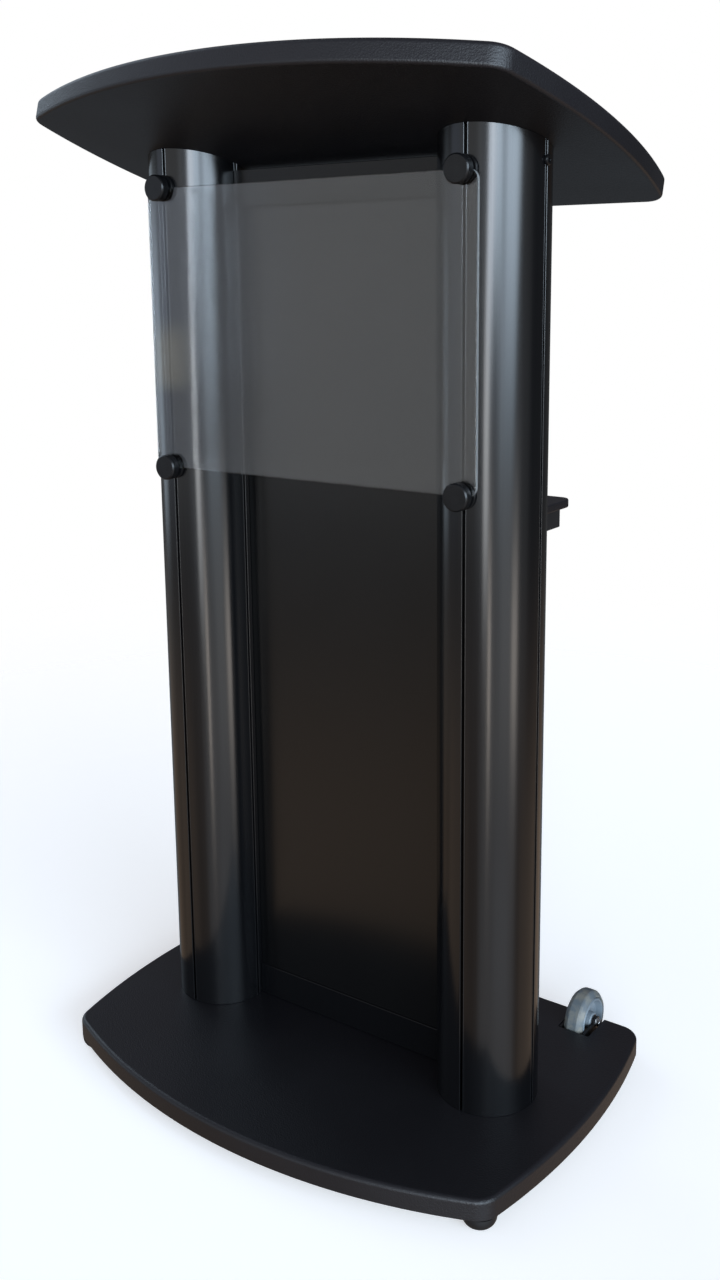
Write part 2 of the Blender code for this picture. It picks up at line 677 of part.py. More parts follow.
def build_front_plate(finish_with):
    """Clear plate, notched for the standoff studs at its four corners."""
    column_front = COLUMN_Y - COLUMN_RADIUS
    spacer_back = column_front - GAP
    plate_back = spacer_back - SPACER_THICKNESS - GAP
    outline = rounded_rectangle(
        (-PLATE_HALF_WIDTH, STANDOFF_LOW), (PLATE_HALF_WIDTH, STANDOFF_HIGH), PLATE_CORNER_RADIUS)
    plate = flat_solid("front_plate", [outline], PLATE_THICKNESS)
    plate.rotation_euler = (math.radians(90.0), 0.0, 0.0)
    plate.location = (0.0, plate_back, 0.0)
    smooth(plate)
    cap_back = plate_back - PLATE_THICKNESS - GAP
    slot_middle = column_front + (SLOT_NECK_DEPTH + SLOT_DEPTH) / 2
    levels = {"low": STANDOFF_LOW, "high": STANDOFF_HIGH}
    for level, z in levels.items():
        for label, side in SIDES.items():
            x = side * COLUMN_X
            place = level + "_" + label
            notch = rod("stud_notch", PLATE_NOTCH_RADIUS, 0.02)
            boolean(plate, along_y(notch, x, plate_back - 0.012, z))
            spacer = turned("standoff_spacer_" + place, [
                (STANDOFF_RADIUS, SPACER_THICKNESS), (STANDOFF_RADIUS, 0.0),
                (STUD_RADIUS + GAP, 0.0), (STUD_RADIUS + GAP, SPACER_THICKNESS)], 32, True)
            along_y(spacer, x, spacer_back, z, back=False)
            finish(spacer, finish_with["standoff"])
            stud_end = column_front + SLOT_DEPTH - 0.6 * MM
            stud = stud_end - cap_back
            cap = turned("standoff_cap_" + place, [
                (0.0, CAP_THICKNESS), (STANDOFF_RADIUS - CAP_CHAMFER, CAP_THICKNESS),
                (STANDOFF_RADIUS, CAP_THICKNESS - CAP_CHAMFER), (STANDOFF_RADIUS, 0.0),
                (STUD_RADIUS, 0.0), (STUD_RADIUS, -stud), (0.0, -stud)], 36)
            along_y(cap, x, cap_back, z, back=False)
            finish(cap, finish_with["standoff"])
            build_slot_nut("standoff_nut_" + place, x, slot_middle, z, finish_with)
    finish(plate, finish_with["acrylic"])


# ---------------------------------------------------------------- feet, wheels

def build_feet(finish_with):
    """Domed rubber feet, each with a peg pressed into the base board."""
    dome = []
    for i in range(7):
        angle = math.radians(15.0 * i)
        radius = FOOT_FLAT_RADIUS + (FOOT_RADIUS - FOOT_FLAT_RADIUS) * math.cos(angle)
        dome.append((radius, -(FOOT_HEIGHT - 3.0 * MM - GAP) * math.sin(angle) - 3.0 * MM))
    for label, side in SIDES.items():
        for end, (x, y) in {"front": FRONT_FOOT, "back": BACK_FOOT}.items():
            foot = turned(end + "_" + label + "_foot", [
                (0.0, FOOT_PEG_LENGTH), (FOOT_PEG_RADIUS, FOOT_PEG_LENGTH), (FOOT_PEG_RADIUS, 0.0),
                (FOOT_RADIUS, 0.0)] + dome + [(0.0, dome[-1][1])], 28)
            foot.location = (side * x, y, FOOT_HEIGHT - GAP)
            finish(foot, finish_with["rubber"])


def bracket_screw_places():
    """Places of a wheel bracket's screws on the right side."""
    y = WHEEL_Y - 54.0 * MM
    return [(195.5 * MM, y), (236.0 * MM, y)]


def ear_outline():
    """Side outline of a bracket ear: low and square in front, a round lobe about the axle."""
    bottom = FOOT_HEIGHT - GAP - BRACKET_THICKNESS
    shoulder = BASE_TOP - 1.0 * MM
    front = WHEEL_Y - 34.0 * MM
    neck = WHEEL_Y - 13.0 * MM
    lobe = arc((WHEEL_Y, WHEEL_Z), EAR_LOBE_RADIUS, 0.0, math.radians(172.0), 12)
    return [(front, bottom), (WHEEL_Y + EAR_LOBE_RADIUS, bottom)] + lobe + [
        (neck, shoulder), (front, shoulder)]


def build_wheel_bracket(label, side, finish_with):
    """Pressed bracket under the base board, with two ears that rise through the notch."""
    top = FOOT_HEIGHT - GAP
    bottom = top - BRACKET_THICKNESS
    slot_inner = EAR_INNER_X + BRACKET_THICKNESS
    low, high = sorted((side * 188.0 * MM, side * 244.0 * MM))
    bracket = box(
        label + "_wheel_bracket", (low, WHEEL_Y - 66.0 * MM, bottom), (high, BASE_BACK_Y, top))
    slot_low, slot_high = sorted((side * slot_inner, side * EAR_OUTER_X))
    boolean(bracket, box("bracket_slot", (slot_low, NOTCH_FRONT_Y - 1.0 * MM, 0.0), (slot_high, 0.3, 0.03)))
    for x in (EAR_INNER_X, EAR_OUTER_X):
        ear = flat_solid("bracket_ear", [ear_outline()], BRACKET_THICKNESS)
        ear.rotation_euler = (math.radians(90.0), 0.0, math.radians(90.0))
        ear.location = (min(side * x, side * (x + BRACKET_THICKNESS)), 0.0, 0.0)
        boolean(bracket, ear, "UNION")
    axle_hole = rod("axle_hole", AXLE_RADIUS + RUNNING_GAP, 0.06, 28)
    boolean(bracket, along_x(axle_hole, side * 0.19, WHEEL_Y, WHEEL_Z, side))
    for number, (x, y) in enumerate(bracket_screw_places(), 1):
        hole = rod("bracket_screw_hole", 2.3 * MM, 0.03)
        hole.location = (side * x, y, 0.0)
        boolean(bracket, hole)
        screw = turned(label + "_bracket_screw_" + str(number), [
            (0.0, 14.0 * MM), (1.9 * MM, 14.0 * MM), (1.9 * MM, 0.0), (4.0 * MM, 0.0),
            (3.6 * MM, -1.4 * MM), (2.2 * MM, -2.4 * MM), (0.0, -2.6 * MM)], 16)
        screw.location = (side * x, y, bottom - GAP)
        finish(screw, finish_with["steel"])
    finish(bracket, finish_with["bracket"])


def build_wheel(label, side, finish_with):
    """Tyre, core and bush that turn together on the axle bolt."""
    half = WHEEL_HALF_WIDTH
    rim = CORE_RADIUS + GAP
    tyre = turned(label + "_tyre", [
        (rim, half - 0.4 * MM), (28.5 * MM, half), (31.2 * MM, half - 2.0 * MM),
        (34.0 * MM, 6.8 * MM), (WHEEL_RADIUS, 5.4 * MM), (WHEEL_RADIUS, -5.4 * MM),
        (34.0 * MM, -6.8 * MM), (31.2 * MM, 2.0 * MM - half), (28.5 * MM, -half),
        (rim, 0.4 * MM - half)], 48, True)
    along_x(tyre, side * WHEEL_X, WHEEL_Y, WHEEL_Z, side)
    finish(tyre, finish_with["tyre"])
    bore = BUSH_RADIUS + RUNNING_GAP
    half_profile = [
        (bore, half), (9.0 * MM, half), (9.6 * MM, half - 1.0 * MM), (10.4 * MM, 4.2 * MM),
        (12.0 * MM, 3.2 * MM), (21.5 * MM, 5.8 * MM), (24.2 * MM, half - 0.8 * MM),
        (24.6 * MM, half), (CORE_RADIUS, half)]
    mirrored = [(radius, -height) for radius, height in reversed(half_profile)]
    core = turned(label + "_wheel_core", half_profile + mirrored, 36, True)
    along_x(core, side * WHEEL_X, WHEEL_Y, WHEEL_Z, side)
    finish(core, finish_with["core"])
    inner = AXLE_RADIUS + RUNNING_GAP
    end = half + 1.0 * MM
    flange = half + GAP
    bush = turned(label + "_wheel_bush", [
        (inner, end), (7.6 * MM, end), (7.6 * MM, flange), (BUSH_RADIUS, flange),
        (BUSH_RADIUS, -half), (inner, -half)], 28, True)
    along_x(bush, side * WHEEL_X, WHEEL_Y, WHEEL_Z, side)
    finish(bush, finish_with["nylon"])


def build_axle_bolt(label, side, finish_with):
    """Hex bolt through both bracket ears and the wheel."""
    head_start = EAR_OUTER_X + BRACKET_THICKNESS + GAP
    shank = head_start - EAR_INNER_X
    bolt = turned(label + "_axle_bolt", [
        (0.0, 0.5 * MM), (6.0 * MM, 0.5 * MM), (6.0 * MM, 0.0), (AXLE_RADIUS, 0.0),
        (AXLE_RADIUS, -shank), (0.0, -shank)], 24)
    along_x(bolt, side * head_start, WHEEL_Y, WHEEL_Z, side)
    head = rod("hex_head", 5.2 * MM, 4.6 * MM, 6)
    along_x(head, side * (head_start + 0.2 * MM), WHEEL_Y, WHEEL_Z, side)
    boolean(bolt, head, "UNION")
    finish(bolt, finish_with["steel"])


# ---------------------------------------------------------------- shelf

def build_shelf(finish_with):
    """Rear shelf between and behind the columns, on two square arms."""
    outline = rounded_rectangle(
        (-SHELF_HALF_WIDTH, SHELF_FRONT), (SHELF_HALF_WIDTH, SHELF_BACK), SHELF_CORNER_RADIUS,
        (False, False, True, True))
    shelf = flat_solid("shelf_board", [outline], SHELF_THICKNESS)
    round_rim(shelf, SHELF_THICKNESS, 2.5 * MM, 2)
    round_rim(shelf, 0.0, 1.2 * MM, 1)
    smooth(shelf)
    shelf.location = (0.0, 0.0, SHELF_BOTTOM)
    arm_top = SHELF_BOTTOM - GAP
    middle = arm_top - ARM_SIZE / 2
    column_back = COLUMN_Y + COLUMN_RADIUS
    slot_middle = column_back - (SLOT_NECK_DEPTH + SLOT_DEPTH) / 2
    for label, side in SIDES.items():
        x = side * COLUMN_X
        envelope = rod("column_envelope", COLUMN_RADIUS + 1.0 * MM, 1.2, 96)
        envelope.location = (x, COLUMN_Y, 0.0)
        boolean(shelf, envelope)
        arm = box(
            label + "_shelf_arm", (x - ARM_SIZE / 2, column_back + GAP, arm_top - ARM_SIZE),
            (x + ARM_SIZE / 2, ARM_BACK, arm_top))
        bevel(arm, 0.8 * MM, 1)
        bore = rod("arm_bore", 2.3 * MM, 0.1)
        boolean(arm, along_y(bore, x, column_back - 0.01, middle))
        seat = rod("arm_seat", 5.2 * MM, 0.02)
        boolean(arm, along_y(seat, x, ARM_BACK - 6.0 * MM, middle))
        finish(arm, finish_with["bracket"])
        head_seat = ARM_BACK - 6.0 * MM + GAP
        shank = head_seat - (column_back - SLOT_DEPTH + 0.6 * MM)
        screw = turned(label + "_arm_screw", [
            (0.0, 4.5 * MM), (4.2 * MM, 4.5 * MM), (4.6 * MM, 4.0 * MM), (4.6 * MM, 0.0),
            (STUD_RADIUS, 0.0), (STUD_RADIUS, -shank), (0.0, -shank)], SMALL_STEPS)
        along_y(screw, x, head_seat, middle)
        finish(screw, finish_with["standoff"])
        build_slot_nut(label + "_arm_nut", x, slot_middle, middle, finish_with)
    finish(shelf, finish_with["board"])


def build_lectern():
    empty_scene()
    finish_with = make_materials()
    slope = slope_frame()
    build_base_board(finish_with)
    build_columns(slope, finish_with)
    build_plugs(slope, finish_with)
    build_plug_fasteners(slope, finish_with)
    build_top_board(slope, finish_with)
    build_paper_stop(slope, finish_with)
    build_rails(finish_with)
    build_centre_panel(finish_with)
    build_front_plate(finish_with)
    build_feet(finish_with)
    build_shelf(finish_with)
    for label, side in SIDES.items():
        build_wheel_bracket(label, side, finish_with)
        build_wheel(label, side, finish_with)
        build_axle_bolt(label, side, finish_with)


build_lectern()
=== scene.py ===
import json
import math

import bmesh
import bpy
from mathutils import Matrix, Vector


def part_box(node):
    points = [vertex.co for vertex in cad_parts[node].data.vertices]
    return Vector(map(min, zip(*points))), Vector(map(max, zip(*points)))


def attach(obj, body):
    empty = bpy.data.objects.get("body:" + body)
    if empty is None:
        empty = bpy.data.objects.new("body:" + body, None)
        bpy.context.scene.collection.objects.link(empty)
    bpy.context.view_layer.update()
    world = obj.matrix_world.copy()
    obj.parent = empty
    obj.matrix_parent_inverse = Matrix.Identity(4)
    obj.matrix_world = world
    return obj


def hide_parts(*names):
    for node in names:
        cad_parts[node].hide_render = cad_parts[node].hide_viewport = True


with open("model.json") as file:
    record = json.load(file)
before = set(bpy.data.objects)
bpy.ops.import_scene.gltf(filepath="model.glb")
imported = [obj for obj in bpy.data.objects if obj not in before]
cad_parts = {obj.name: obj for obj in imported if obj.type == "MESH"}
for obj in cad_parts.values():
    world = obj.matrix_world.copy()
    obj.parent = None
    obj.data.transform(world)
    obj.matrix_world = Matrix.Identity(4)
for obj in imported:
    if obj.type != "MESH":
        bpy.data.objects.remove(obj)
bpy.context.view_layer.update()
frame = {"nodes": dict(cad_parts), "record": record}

MM = 0.001
GAP = 0.3 * MM               # left between parts that only touch
QUARTER = math.radians(90.0)
SIDES = {"left": -1, "right": 1}
LEVELS = ("low", "high")


# ------------------------ measures from the frame

def extent(node):
    """Lowest corner, highest corner and centre of a CAD node at rest."""
    low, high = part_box(node)
    low = Vector(low)
    high = Vector(high)
    return low, high, (low + high) / 2


def reach_out(node, side):
    """How far a node's inner and outer ends are from the middle of the lectern."""
    low, high = extent(node)[:2]
    return (low.x, high.x) if side > 0 else (-high.x, -low.x)


COLUMN_LOW, COLUMN_HIGH, COLUMN_MID = extent("right_column")
BASE_LOW, BASE_HIGH = extent("base_board")[:2]
SHELF_LOW, SHELF_HIGH = extent("shelf_board")[:2]
PLATE_LOW, PLATE_HIGH = extent("front_plate")[:2]
PANEL_LOW, PANEL_HIGH = extent("centre_panel")[:2]

COLUMN_R = 55.0 * MM
COLUMN_X = COLUMN_MID.x
COLUMN_Y = COLUMN_MID.y

# The top board falls towards the back. Its frame starts where it meets the columns' front.
SLOPE = math.radians(15.4)
SLOPE_ORIGIN = Vector((0.0, COLUMN_Y - COLUMN_R, COLUMN_HIGH.z + GAP))
SLOPE_FRAME = Matrix.Translation(SLOPE_ORIGIN) @ Matrix.Rotation(-SLOPE, 4, "X")
BOARD_T = BASE_HIGH.z - BASE_LOW.z


# ------------------------ mesh helpers

STRAIGHT = math.radians(172.0)       # a corner flatter than this isn't rounded
EDGE_SHARE = 0.45                    # most of an edge that one corner's round takes up
ON_AXIS = 1e-7                       # a lathe point nearer the axis than this is one vertex
WELD = 0.000001
COLLINEAR = math.radians(0.05)
RIM_TURN = math.radians(60.0)        # faces that meet at more than this get a rounded edge


def link(data, name):
    item = bpy.data.objects.new(name, data)
    bpy.context.scene.collection.objects.link(item)
    return item


def evaluated_mesh(item):
    bpy.context.view_layer.update()
    return bpy.data.meshes.new_from_object(
        item.evaluated_get(bpy.context.evaluated_depsgraph_get()))


def bake(item):
    """Replace an item's mesh by the result of its modifiers."""
    mesh = evaluated_mesh(item)
    item.modifiers.clear()
    old = item.data
    item.data = mesh
    bpy.data.meshes.remove(old)


def soft_edges(item, degrees=30.0):
    """Smooth shading that leaves large faces flat and stops at sharp edges."""
    item.data.shade_smooth()
    item.data.set_sharp_from_angle(angle=math.radians(degrees))
    modifier = item.modifiers.new("normals", "WEIGHTED_NORMAL")
    modifier.keep_sharp = True
    modifier.weight = 50
    bake(item)


def from_bmesh(bm, name, degrees=30.0, matrix=None):
    """New item from a bmesh, placed by a matrix, with its shading set."""
    if matrix is not None:
        bmesh.ops.transform(bm, matrix=matrix, verts=bm.verts)
    bmesh.ops.recalc_face_normals(bm, faces=bm.faces)
    mesh = bpy.data.meshes.new(name)
    bm.to_mesh(mesh)
    bm.free()
    item = link(mesh, name)
    soft_edges(item, degrees)
    return item


def arc(centre, radius, start, end, count):
    """Points along an arc, both ends included."""
    return [
        (centre[0] + radius * math.cos(start + (end - start) * i / count),
         centre[1] + radius * math.sin(start + (end - start) * i / count))
        for i in range(count + 1)]


def bearing(origin, target):
    return math.atan2(target[1] - origin[1], target[0] - origin[0])


def mirrored_x(points):
    """The other half of a symmetrical outline, in running order."""
    return [(-x, y) for x, y in reversed(points)]


def fillet(points, radius, steps=4, closed=False):
    """Round the corners of a polyline. A corner's round shrinks where its edges are short."""
    count = len(points)
    out = []
    for i, here in enumerate(points):
        if not closed and i in (0, count - 1):
            out.append(here)
            continue
        before = points[i - 1]
        after = points[(i + 1) % count]
        to_before = Vector((before[0] - here[0], before[1] - here[1]))
        to_after = Vector((after[0] - here[0], after[1] - here[1]))
        turn = to_before.angle(to_after)
        if turn > STRAIGHT:
            out.append(here)
            continue
        reach = min(
            radius / math.tan(turn / 2), to_before.length * EDGE_SHARE,
            to_after.length * EDGE_SHARE)
        a = Vector(here) + to_before.normalized() * reach
        b = Vector(here) + to_after.normalized() * reach
        for k in range(steps + 1):
            t = k / steps
            point = a * (1 - t) ** 2 + Vector(here) * 2 * t * (1 - t) + b * t * t
            out.append((point.x, point.y))
    return out


def lathe(name, profile, matrix, steps=64, closed=False, degrees=35.0):
    """Turn (radius, height) points about local Z, then place the mesh with a matrix."""
    bm = bmesh.new()
    rings = []
    for radius, height in profile:
        if radius < ON_AXIS:
            rings.append([bm.verts.new((0.0, 0.0, height))])
        else:
            rings.append([
                bm.verts.new((
                    radius * math.cos(2 * math.pi * k / steps),
                    radius * math.sin(2 * math.pi * k / steps), height))
                for k in range(steps)])
    pairs = list(zip(rings, rings[1:]))
    if closed:
        pairs.append((rings[-1], rings[0]))
    for a, b in pairs:
        for k in range(steps):
            n = (k + 1) % steps
            if len(a) == 1 and len(b) == 1:
                break
            if len(a) == 1:
                bm.faces.new((a[0], b[k], b[n]))
            elif len(b) == 1:
                bm.faces.new((a[k], b[0], a[n]))
            else:
                bm.faces.new((a[k], b[k], b[n], a[n]))
    return from_bmesh(bm, name, degrees, matrix)


def facing(x, y, z, axis, sign=1):
    """Matrix that points local Z along a world axis, or against X or Y, from a place."""
    place = Matrix.Translation((x, y, z))
    if axis == "X":
        return place @ Matrix.Rotation(math.radians(90.0 * sign), 4, "Y")
    if axis == "Y":
        return place @ Matrix.Rotation(math.radians(-90.0 * sign), 4, "X")
    return place


def outline_solid(name, loops, thickness, matrix=None, edge=0.0, edge_steps=3, degrees=30.0):
    """Closed plate from outlines in XY (the first is the rim), with rounded rim edges."""
    curve = bpy.data.curves.new(name, "CURVE")
    curve.dimensions = "2D"
    curve.fill_mode = "BOTH"
    curve.extrude = thickness / 2
    for loop in loops:
        spline = curve.splines.new("POLY")
        spline.points.add(len(loop) - 1)
        for point, (x, y) in zip(spline.points, loop):
            point.co = (x, y, 0.0, 1.0)
        spline.use_cyclic_u = True
    flat = link(curve, name + "_flat")
    mesh = evaluated_mesh(flat)
    bpy.data.objects.remove(flat, do_unlink=True)
    bpy.data.curves.remove(curve)
    bm = bmesh.new()
    bm.from_mesh(mesh)
    bpy.data.meshes.remove(mesh)
    bmesh.ops.remove_doubles(bm, verts=bm.verts, dist=WELD)
    bmesh.ops.dissolve_limit(bm, angle_limit=COLLINEAR, verts=bm.verts, edges=bm.edges)
    bmesh.ops.translate(bm, verts=bm.verts, vec=(0.0, 0.0, thickness / 2))
    bmesh.ops.recalc_face_normals(bm, faces=bm.faces)
    if edge:
        rim = [e for e in bm.edges if e.calc_face_angle(0.0) > RIM_TURN]
        bmesh.ops.bevel(
            bm, geom=rim, offset=edge, offset_type="OFFSET", segments=edge_steps, profile=0.5,
            affect="EDGES", clamp_overlap=True)
    return from_bmesh(bm, name, degrees, matrix)


def soft_box(name, low, high, edge, steps=3, matrix=None):
    """Box with rounded edges."""
    bm = bmesh.new()
    bmesh.ops.create_cube(bm, size=1.0)
    low = Vector(low)
    size = Vector(high) - low
    for vert in bm.verts:
        vert.co = Vector((
            low.x + (vert.co.x + 0.5) * size.x,
            low.y + (vert.co.y + 0.5) * size.y,
            low.z + (vert.co.z + 0.5) * size.z))
    bmesh.ops.bevel(
        bm, geom=list(bm.edges), offset=edge, offset_type="OFFSET", segments=steps, profile=0.5,
        affect="EDGES", clamp_overlap=True)
    return from_bmesh(bm, name, matrix=matrix)


def carve(item, operand, operation="DIFFERENCE"):
    """Apply a Boolean to an item's mesh and remove the operand."""
    modifier = item.modifiers.new("carve", "BOOLEAN")
    modifier.operation = operation
    modifier.solver = "EXACT"
    modifier.object = operand
    bake(item)
    bpy.data.objects.remove(operand, do_unlink=True)
    soft_edges(item)


def rounded_rectangle(low, high, radius, steps=8):
    """Outline of a rectangle with round corners, from the lower left one."""
    places = [
        ((low[0], low[1]), (1, 1), 180.0),
        ((high[0], low[1]), (-1, 1), 270.0),
        ((high[0], high[1]), (-1, -1), 0.0),
        ((low[0], high[1]), (1, -1), 90.0)]
    points = []
    for corner, inward, start in places:
        centre = (corner[0] + inward[0] * radius, corner[1] + inward[1] * radius)
        points += arc(centre, radius, math.radians(start), math.radians(start + 90.0), steps)
    return points


# ------------------------ materials

class Tree:
    """Short calls that build a node tree."""

    def __init__(self, tree):
        self.tree = tree

    def add(self, kind, **settings):
        node = self.tree.nodes.new(kind)
        for key, value in settings.items():
            setattr(node, key, value)
        return node

    def wire(self, source, target):
        self.tree.links.new(source, target)

    def feed(self, node, values):
        """Give a node's first inputs their values, each a link or a plain value."""
        for socket, value in zip(node.inputs, values):
            if isinstance(value, bpy.types.NodeSocket):
                self.wire(value, socket)
            else:
                socket.default_value = value
        return node.outputs[0]

    def math(self, operation, a, b):
        return self.feed(self.add("ShaderNodeMath", operation=operation), (a, b))

    def vector(self, operation, a, b):
        return self.feed(self.add("ShaderNodeVectorMath", operation=operation), (a, b))

    def mix_shaders(self, factor, first, second):
        return self.feed(self.add("ShaderNodeMixShader"), (factor, first, second))

    def camera_ray(self):
        return self.add("ShaderNodeLightPath").outputs["Is Camera Ray"]

    def smooth_step(self, value, edge, softness, rising):
        """From 0 to 1 across an edge, or from 1 to 0."""
        node = self.add("ShaderNodeMapRange", interpolation_type="SMOOTHSTEP")
        node.inputs["From Min"].default_value = edge - softness
        node.inputs["From Max"].default_value = edge + softness
        node.inputs["To Min"].default_value = 0.0 if rising else 1.0
        node.inputs["To Max"].default_value = 1.0 if rising else 0.0
        self.wire(value, node.inputs["Value"])
        return node.outputs["Result"]


class Nodes(Tree):
    """One material and its node tree; sizes in metres, from object coordinates."""

    def __init__(self, name):
        self.material = bpy.data.materials.new(name)
        self.material.use_nodes = True
        super().__init__(self.material.node_tree)
        self.shader = self.tree.nodes["Principled BSDF"]
        self.place = self.add("ShaderNodeTexCoord").outputs["Object"]

    def put(self, **values):
        for key, value in values.items():
            self.shader.inputs[key.replace("_", " ")].default_value = value

    def noise(self, scale, detail=2.0, rough=0.5, stretch=(1.0, 1.0, 1.0)):
        """Noise with a number of waves to the metre, multiplied per axis."""
        mapping = self.add("ShaderNodeMapping")
        mapping.inputs["Scale"].default_value = stretch
        self.wire(self.place, mapping.inputs["Vector"])
        node = self.add("ShaderNodeTexNoise")
        node.inputs["Scale"].default_value = scale
        node.inputs["Detail"].default_value = detail
        node.inputs["Roughness"].default_value = rough
        self.wire(mapping.outputs["Vector"], node.inputs["Vector"])
        return node.outputs["Fac"]

    def cells(self, scale):
        """Distance from the middle of each of many small cells."""
        node = self.add("ShaderNodeTexVoronoi")
        node.inputs["Scale"].default_value = scale
        self.wire(self.place, node.inputs["Vector"])
        return node.outputs["Distance"]

    def spread(self, value, low, high, from_low=0.3, from_high=0.7):
        """Stretch the middle of a noise's range over new limits."""
        node = self.add("ShaderNodeMapRange", clamp=True)
        node.inputs["From Min"].default_value = from_low
        node.inputs["From Max"].default_value = from_high
        node.inputs["To Min"].default_value = low
        node.inputs["To Max"].default_value = high
        self.wire(value, node.inputs["Value"])
        return node.outputs["Result"]

    def blend(self, factor, first, second):
        """Mix two colours; each is a plain colour or an output."""
        node = self.add("ShaderNodeMix", data_type="RGBA")
        self.wire(factor, node.inputs["Factor"])
        for name, value in (("A", first), ("B", second)):
            socket = [s for s in node.inputs if s.name == name and s.type == "RGBA"][0]
            if isinstance(value, tuple):
                socket.default_value = (*value, 1.0)
            else:
                self.wire(value, socket)
        return [s for s in node.outputs if s.type == "RGBA"][0]

    def color(self, value):
        self.wire(value, self.shader.inputs["Base Color"])

    def mottle(self, value, dark, pale):
        """Base colour that wanders between two colours."""
        self.color(self.blend(self.spread(value, 0.0, 1.0), dark, pale))

    def rough(self, value):
        self.wire(value, self.shader.inputs["Roughness"])

    def bump(self, height, strength, distance):
        node = self.add("ShaderNodeBump")
        node.inputs["Strength"].default_value = strength
        node.inputs["Distance"].default_value = distance
        self.wire(height, node.inputs["Height"])
        self.wire(node.outputs["Normal"], self.shader.inputs["Normal"])


def board_foil():
    """Black fibreboard foil with a fine leathery grain."""
    n = Nodes("board_foil")
    n.put(Specular_IOR_Level=0.42)
    broad = n.noise(6.0, 3.0)
    n.mottle(broad, (0.0031, 0.0030, 0.0044), (0.0046, 0.0044, 0.0060))
    fine = n.noise(900.0, 3.0, 0.6)
    n.rough(n.math("ADD", n.spread(fine, -0.05, 0.05), n.spread(broad, 0.40, 0.47)))
    grain = n.math("ADD", n.cells(560.0), n.math("MULTIPLY", fine, 0.8))
    n.bump(grain, 0.34, 0.0005)
    return n.material


def anodised(name="black_anodised", specular=0.52):
    """Black satin anodised extrusion with faint die lines along its length."""
    n = Nodes(name)
    n.put(Specular_IOR_Level=specular)
    lines = n.noise(1.0, 4.0, 0.65, (1400.0, 1400.0, 3.0))
    broad = n.noise(5.0, 2.0)
    n.mottle(lines, (0.0017, 0.0018, 0.0022), (0.0026, 0.0027, 0.0032))
    n.rough(n.math("ADD", n.spread(lines, 0.165, 0.205), n.spread(broad, -0.008, 0.008)))
    n.bump(lines, 0.17, 0.00008)
    return n.material


def panel_sheet():
    """Semi-gloss black sheet, very slightly wavy."""
    n = Nodes("panel_sheet")
    n.put(Specular_IOR_Level=0.46)
    broad = n.noise(4.0, 2.0)
    fine = n.noise(1600.0, 2.0)
    n.mottle(broad, (0.0016, 0.0017, 0.0019), (0.0024, 0.0024, 0.0025))
    n.rough(n.math("ADD", n.spread(fine, -0.02, 0.03), n.spread(broad, 0.20, 0.24)))
    n.bump(fine, 0.05, 0.0001)
    return n.material


def acrylic():
    """Clear polished sheet with a trace of haze."""
    n = Nodes("clear_acrylic")
    n.put(IOR=1.49, Transmission_Weight=1.0)
    haze = n.noise(9.0, 4.0, 0.6)
    n.mottle(haze, (0.955, 0.965, 0.97), (0.98, 0.985, 0.985))
    n.rough(n.spread(haze, 0.0, 0.006))
    return n.material


def acrylic_edge():
    """Satin cut edge of the clear sheet, which gathers light and looks milky."""
    n = Nodes("acrylic_cut_edge")
    n.put(IOR=1.49, Transmission_Weight=0.8)
    saw = n.noise(1.0, 3.0, 0.6, (300.0, 2500.0, 300.0))
    n.mottle(saw, (0.66, 0.68, 0.68), (0.86, 0.88, 0.88))
    n.rough(n.spread(saw, 0.16, 0.28))
    n.bump(saw, 0.10, 0.0001)
    return n.material


def plain_finish(name, broad, dark, pale, fine, rough, bump, even=False, **values):
    """Colour from a broad noise, bump from a fine one, roughness from the fine or the broad."""
    n = Nodes(name)
    n.put(**values)
    broad = n.noise(*broad)
    fine = n.noise(*fine)
    n.mottle(broad, dark, pale)
    n.rough(n.spread(broad if even else fine, *rough))
    n.bump(fine, *bump)
    return n.material


def fitting_black():
    """Black turned metal, satin, with fine turning marks."""
    return plain_finish(
        "fitting_black", (60.0, 2.0), (0.0028, 0.0029, 0.0034), (0.0048, 0.0049, 0.0054),
        (1800.0, 3.0), (0.21, 0.31), (0.08, 0.0001), Specular_IOR_Level=0.27)


def bright_steel():
    """Zinc-plated steel with fine scratches and duller patches."""
    n = Nodes("zinc_steel")
    n.put(Metallic=1.0)
    fine = n.noise(900.0, 4.0, 0.7)
    broad = n.noise(90.0, 3.0)
    n.mottle(broad, (0.50, 0.51, 0.52), (0.72, 0.72, 0.71))
    n.rough(n.math("ADD", n.spread(fine, -0.05, 0.08), n.spread(broad, 0.22, 0.36)))
    n.bump(fine, 0.12, 0.0001)
    return n.material


def powder_coat():
    """Black powder coat with orange-peel texture."""
    return plain_finish(
        "powder_coat", (25.0, 2.0), (0.0065, 0.0065, 0.0072), (0.010, 0.010, 0.0108),
        (1100.0, 2.0), (0.42, 0.52), (0.25, 0.0003), even=True, Specular_IOR_Level=0.32)


def tyre_rubber():
    """Grey thermoplastic tyre with worn, slightly beige patches."""
    n = Nodes("tyre_rubber")
    stains = n.noise(70.0, 4.0, 0.6)
    marks = n.noise(420.0, 5.0, 0.7)
    worn = n.blend(
        n.spread(stains, 0.0, 1.0, 0.42, 0.62), (0.092, 0.110, 0.122), (0.172, 0.168, 0.146))
    n.color(n.blend(n.spread(marks, 0.0, 0.35, 0.5, 0.75), worn, (0.055, 0.062, 0.070)))
    n.rough(n.spread(marks, 0.46, 0.66))
    n.bump(marks, 0.25, 0.0004)
    return n.material


def wheel_plastic():
    """Pale blue-grey moulded wheel centre."""
    return plain_finish(
        "wheel_plastic", (80.0, 3.0), (0.122, 0.152, 0.178), (0.165, 0.192, 0.214),
        (900.0, 3.0), (0.34, 0.48), (0.12, 0.0002))


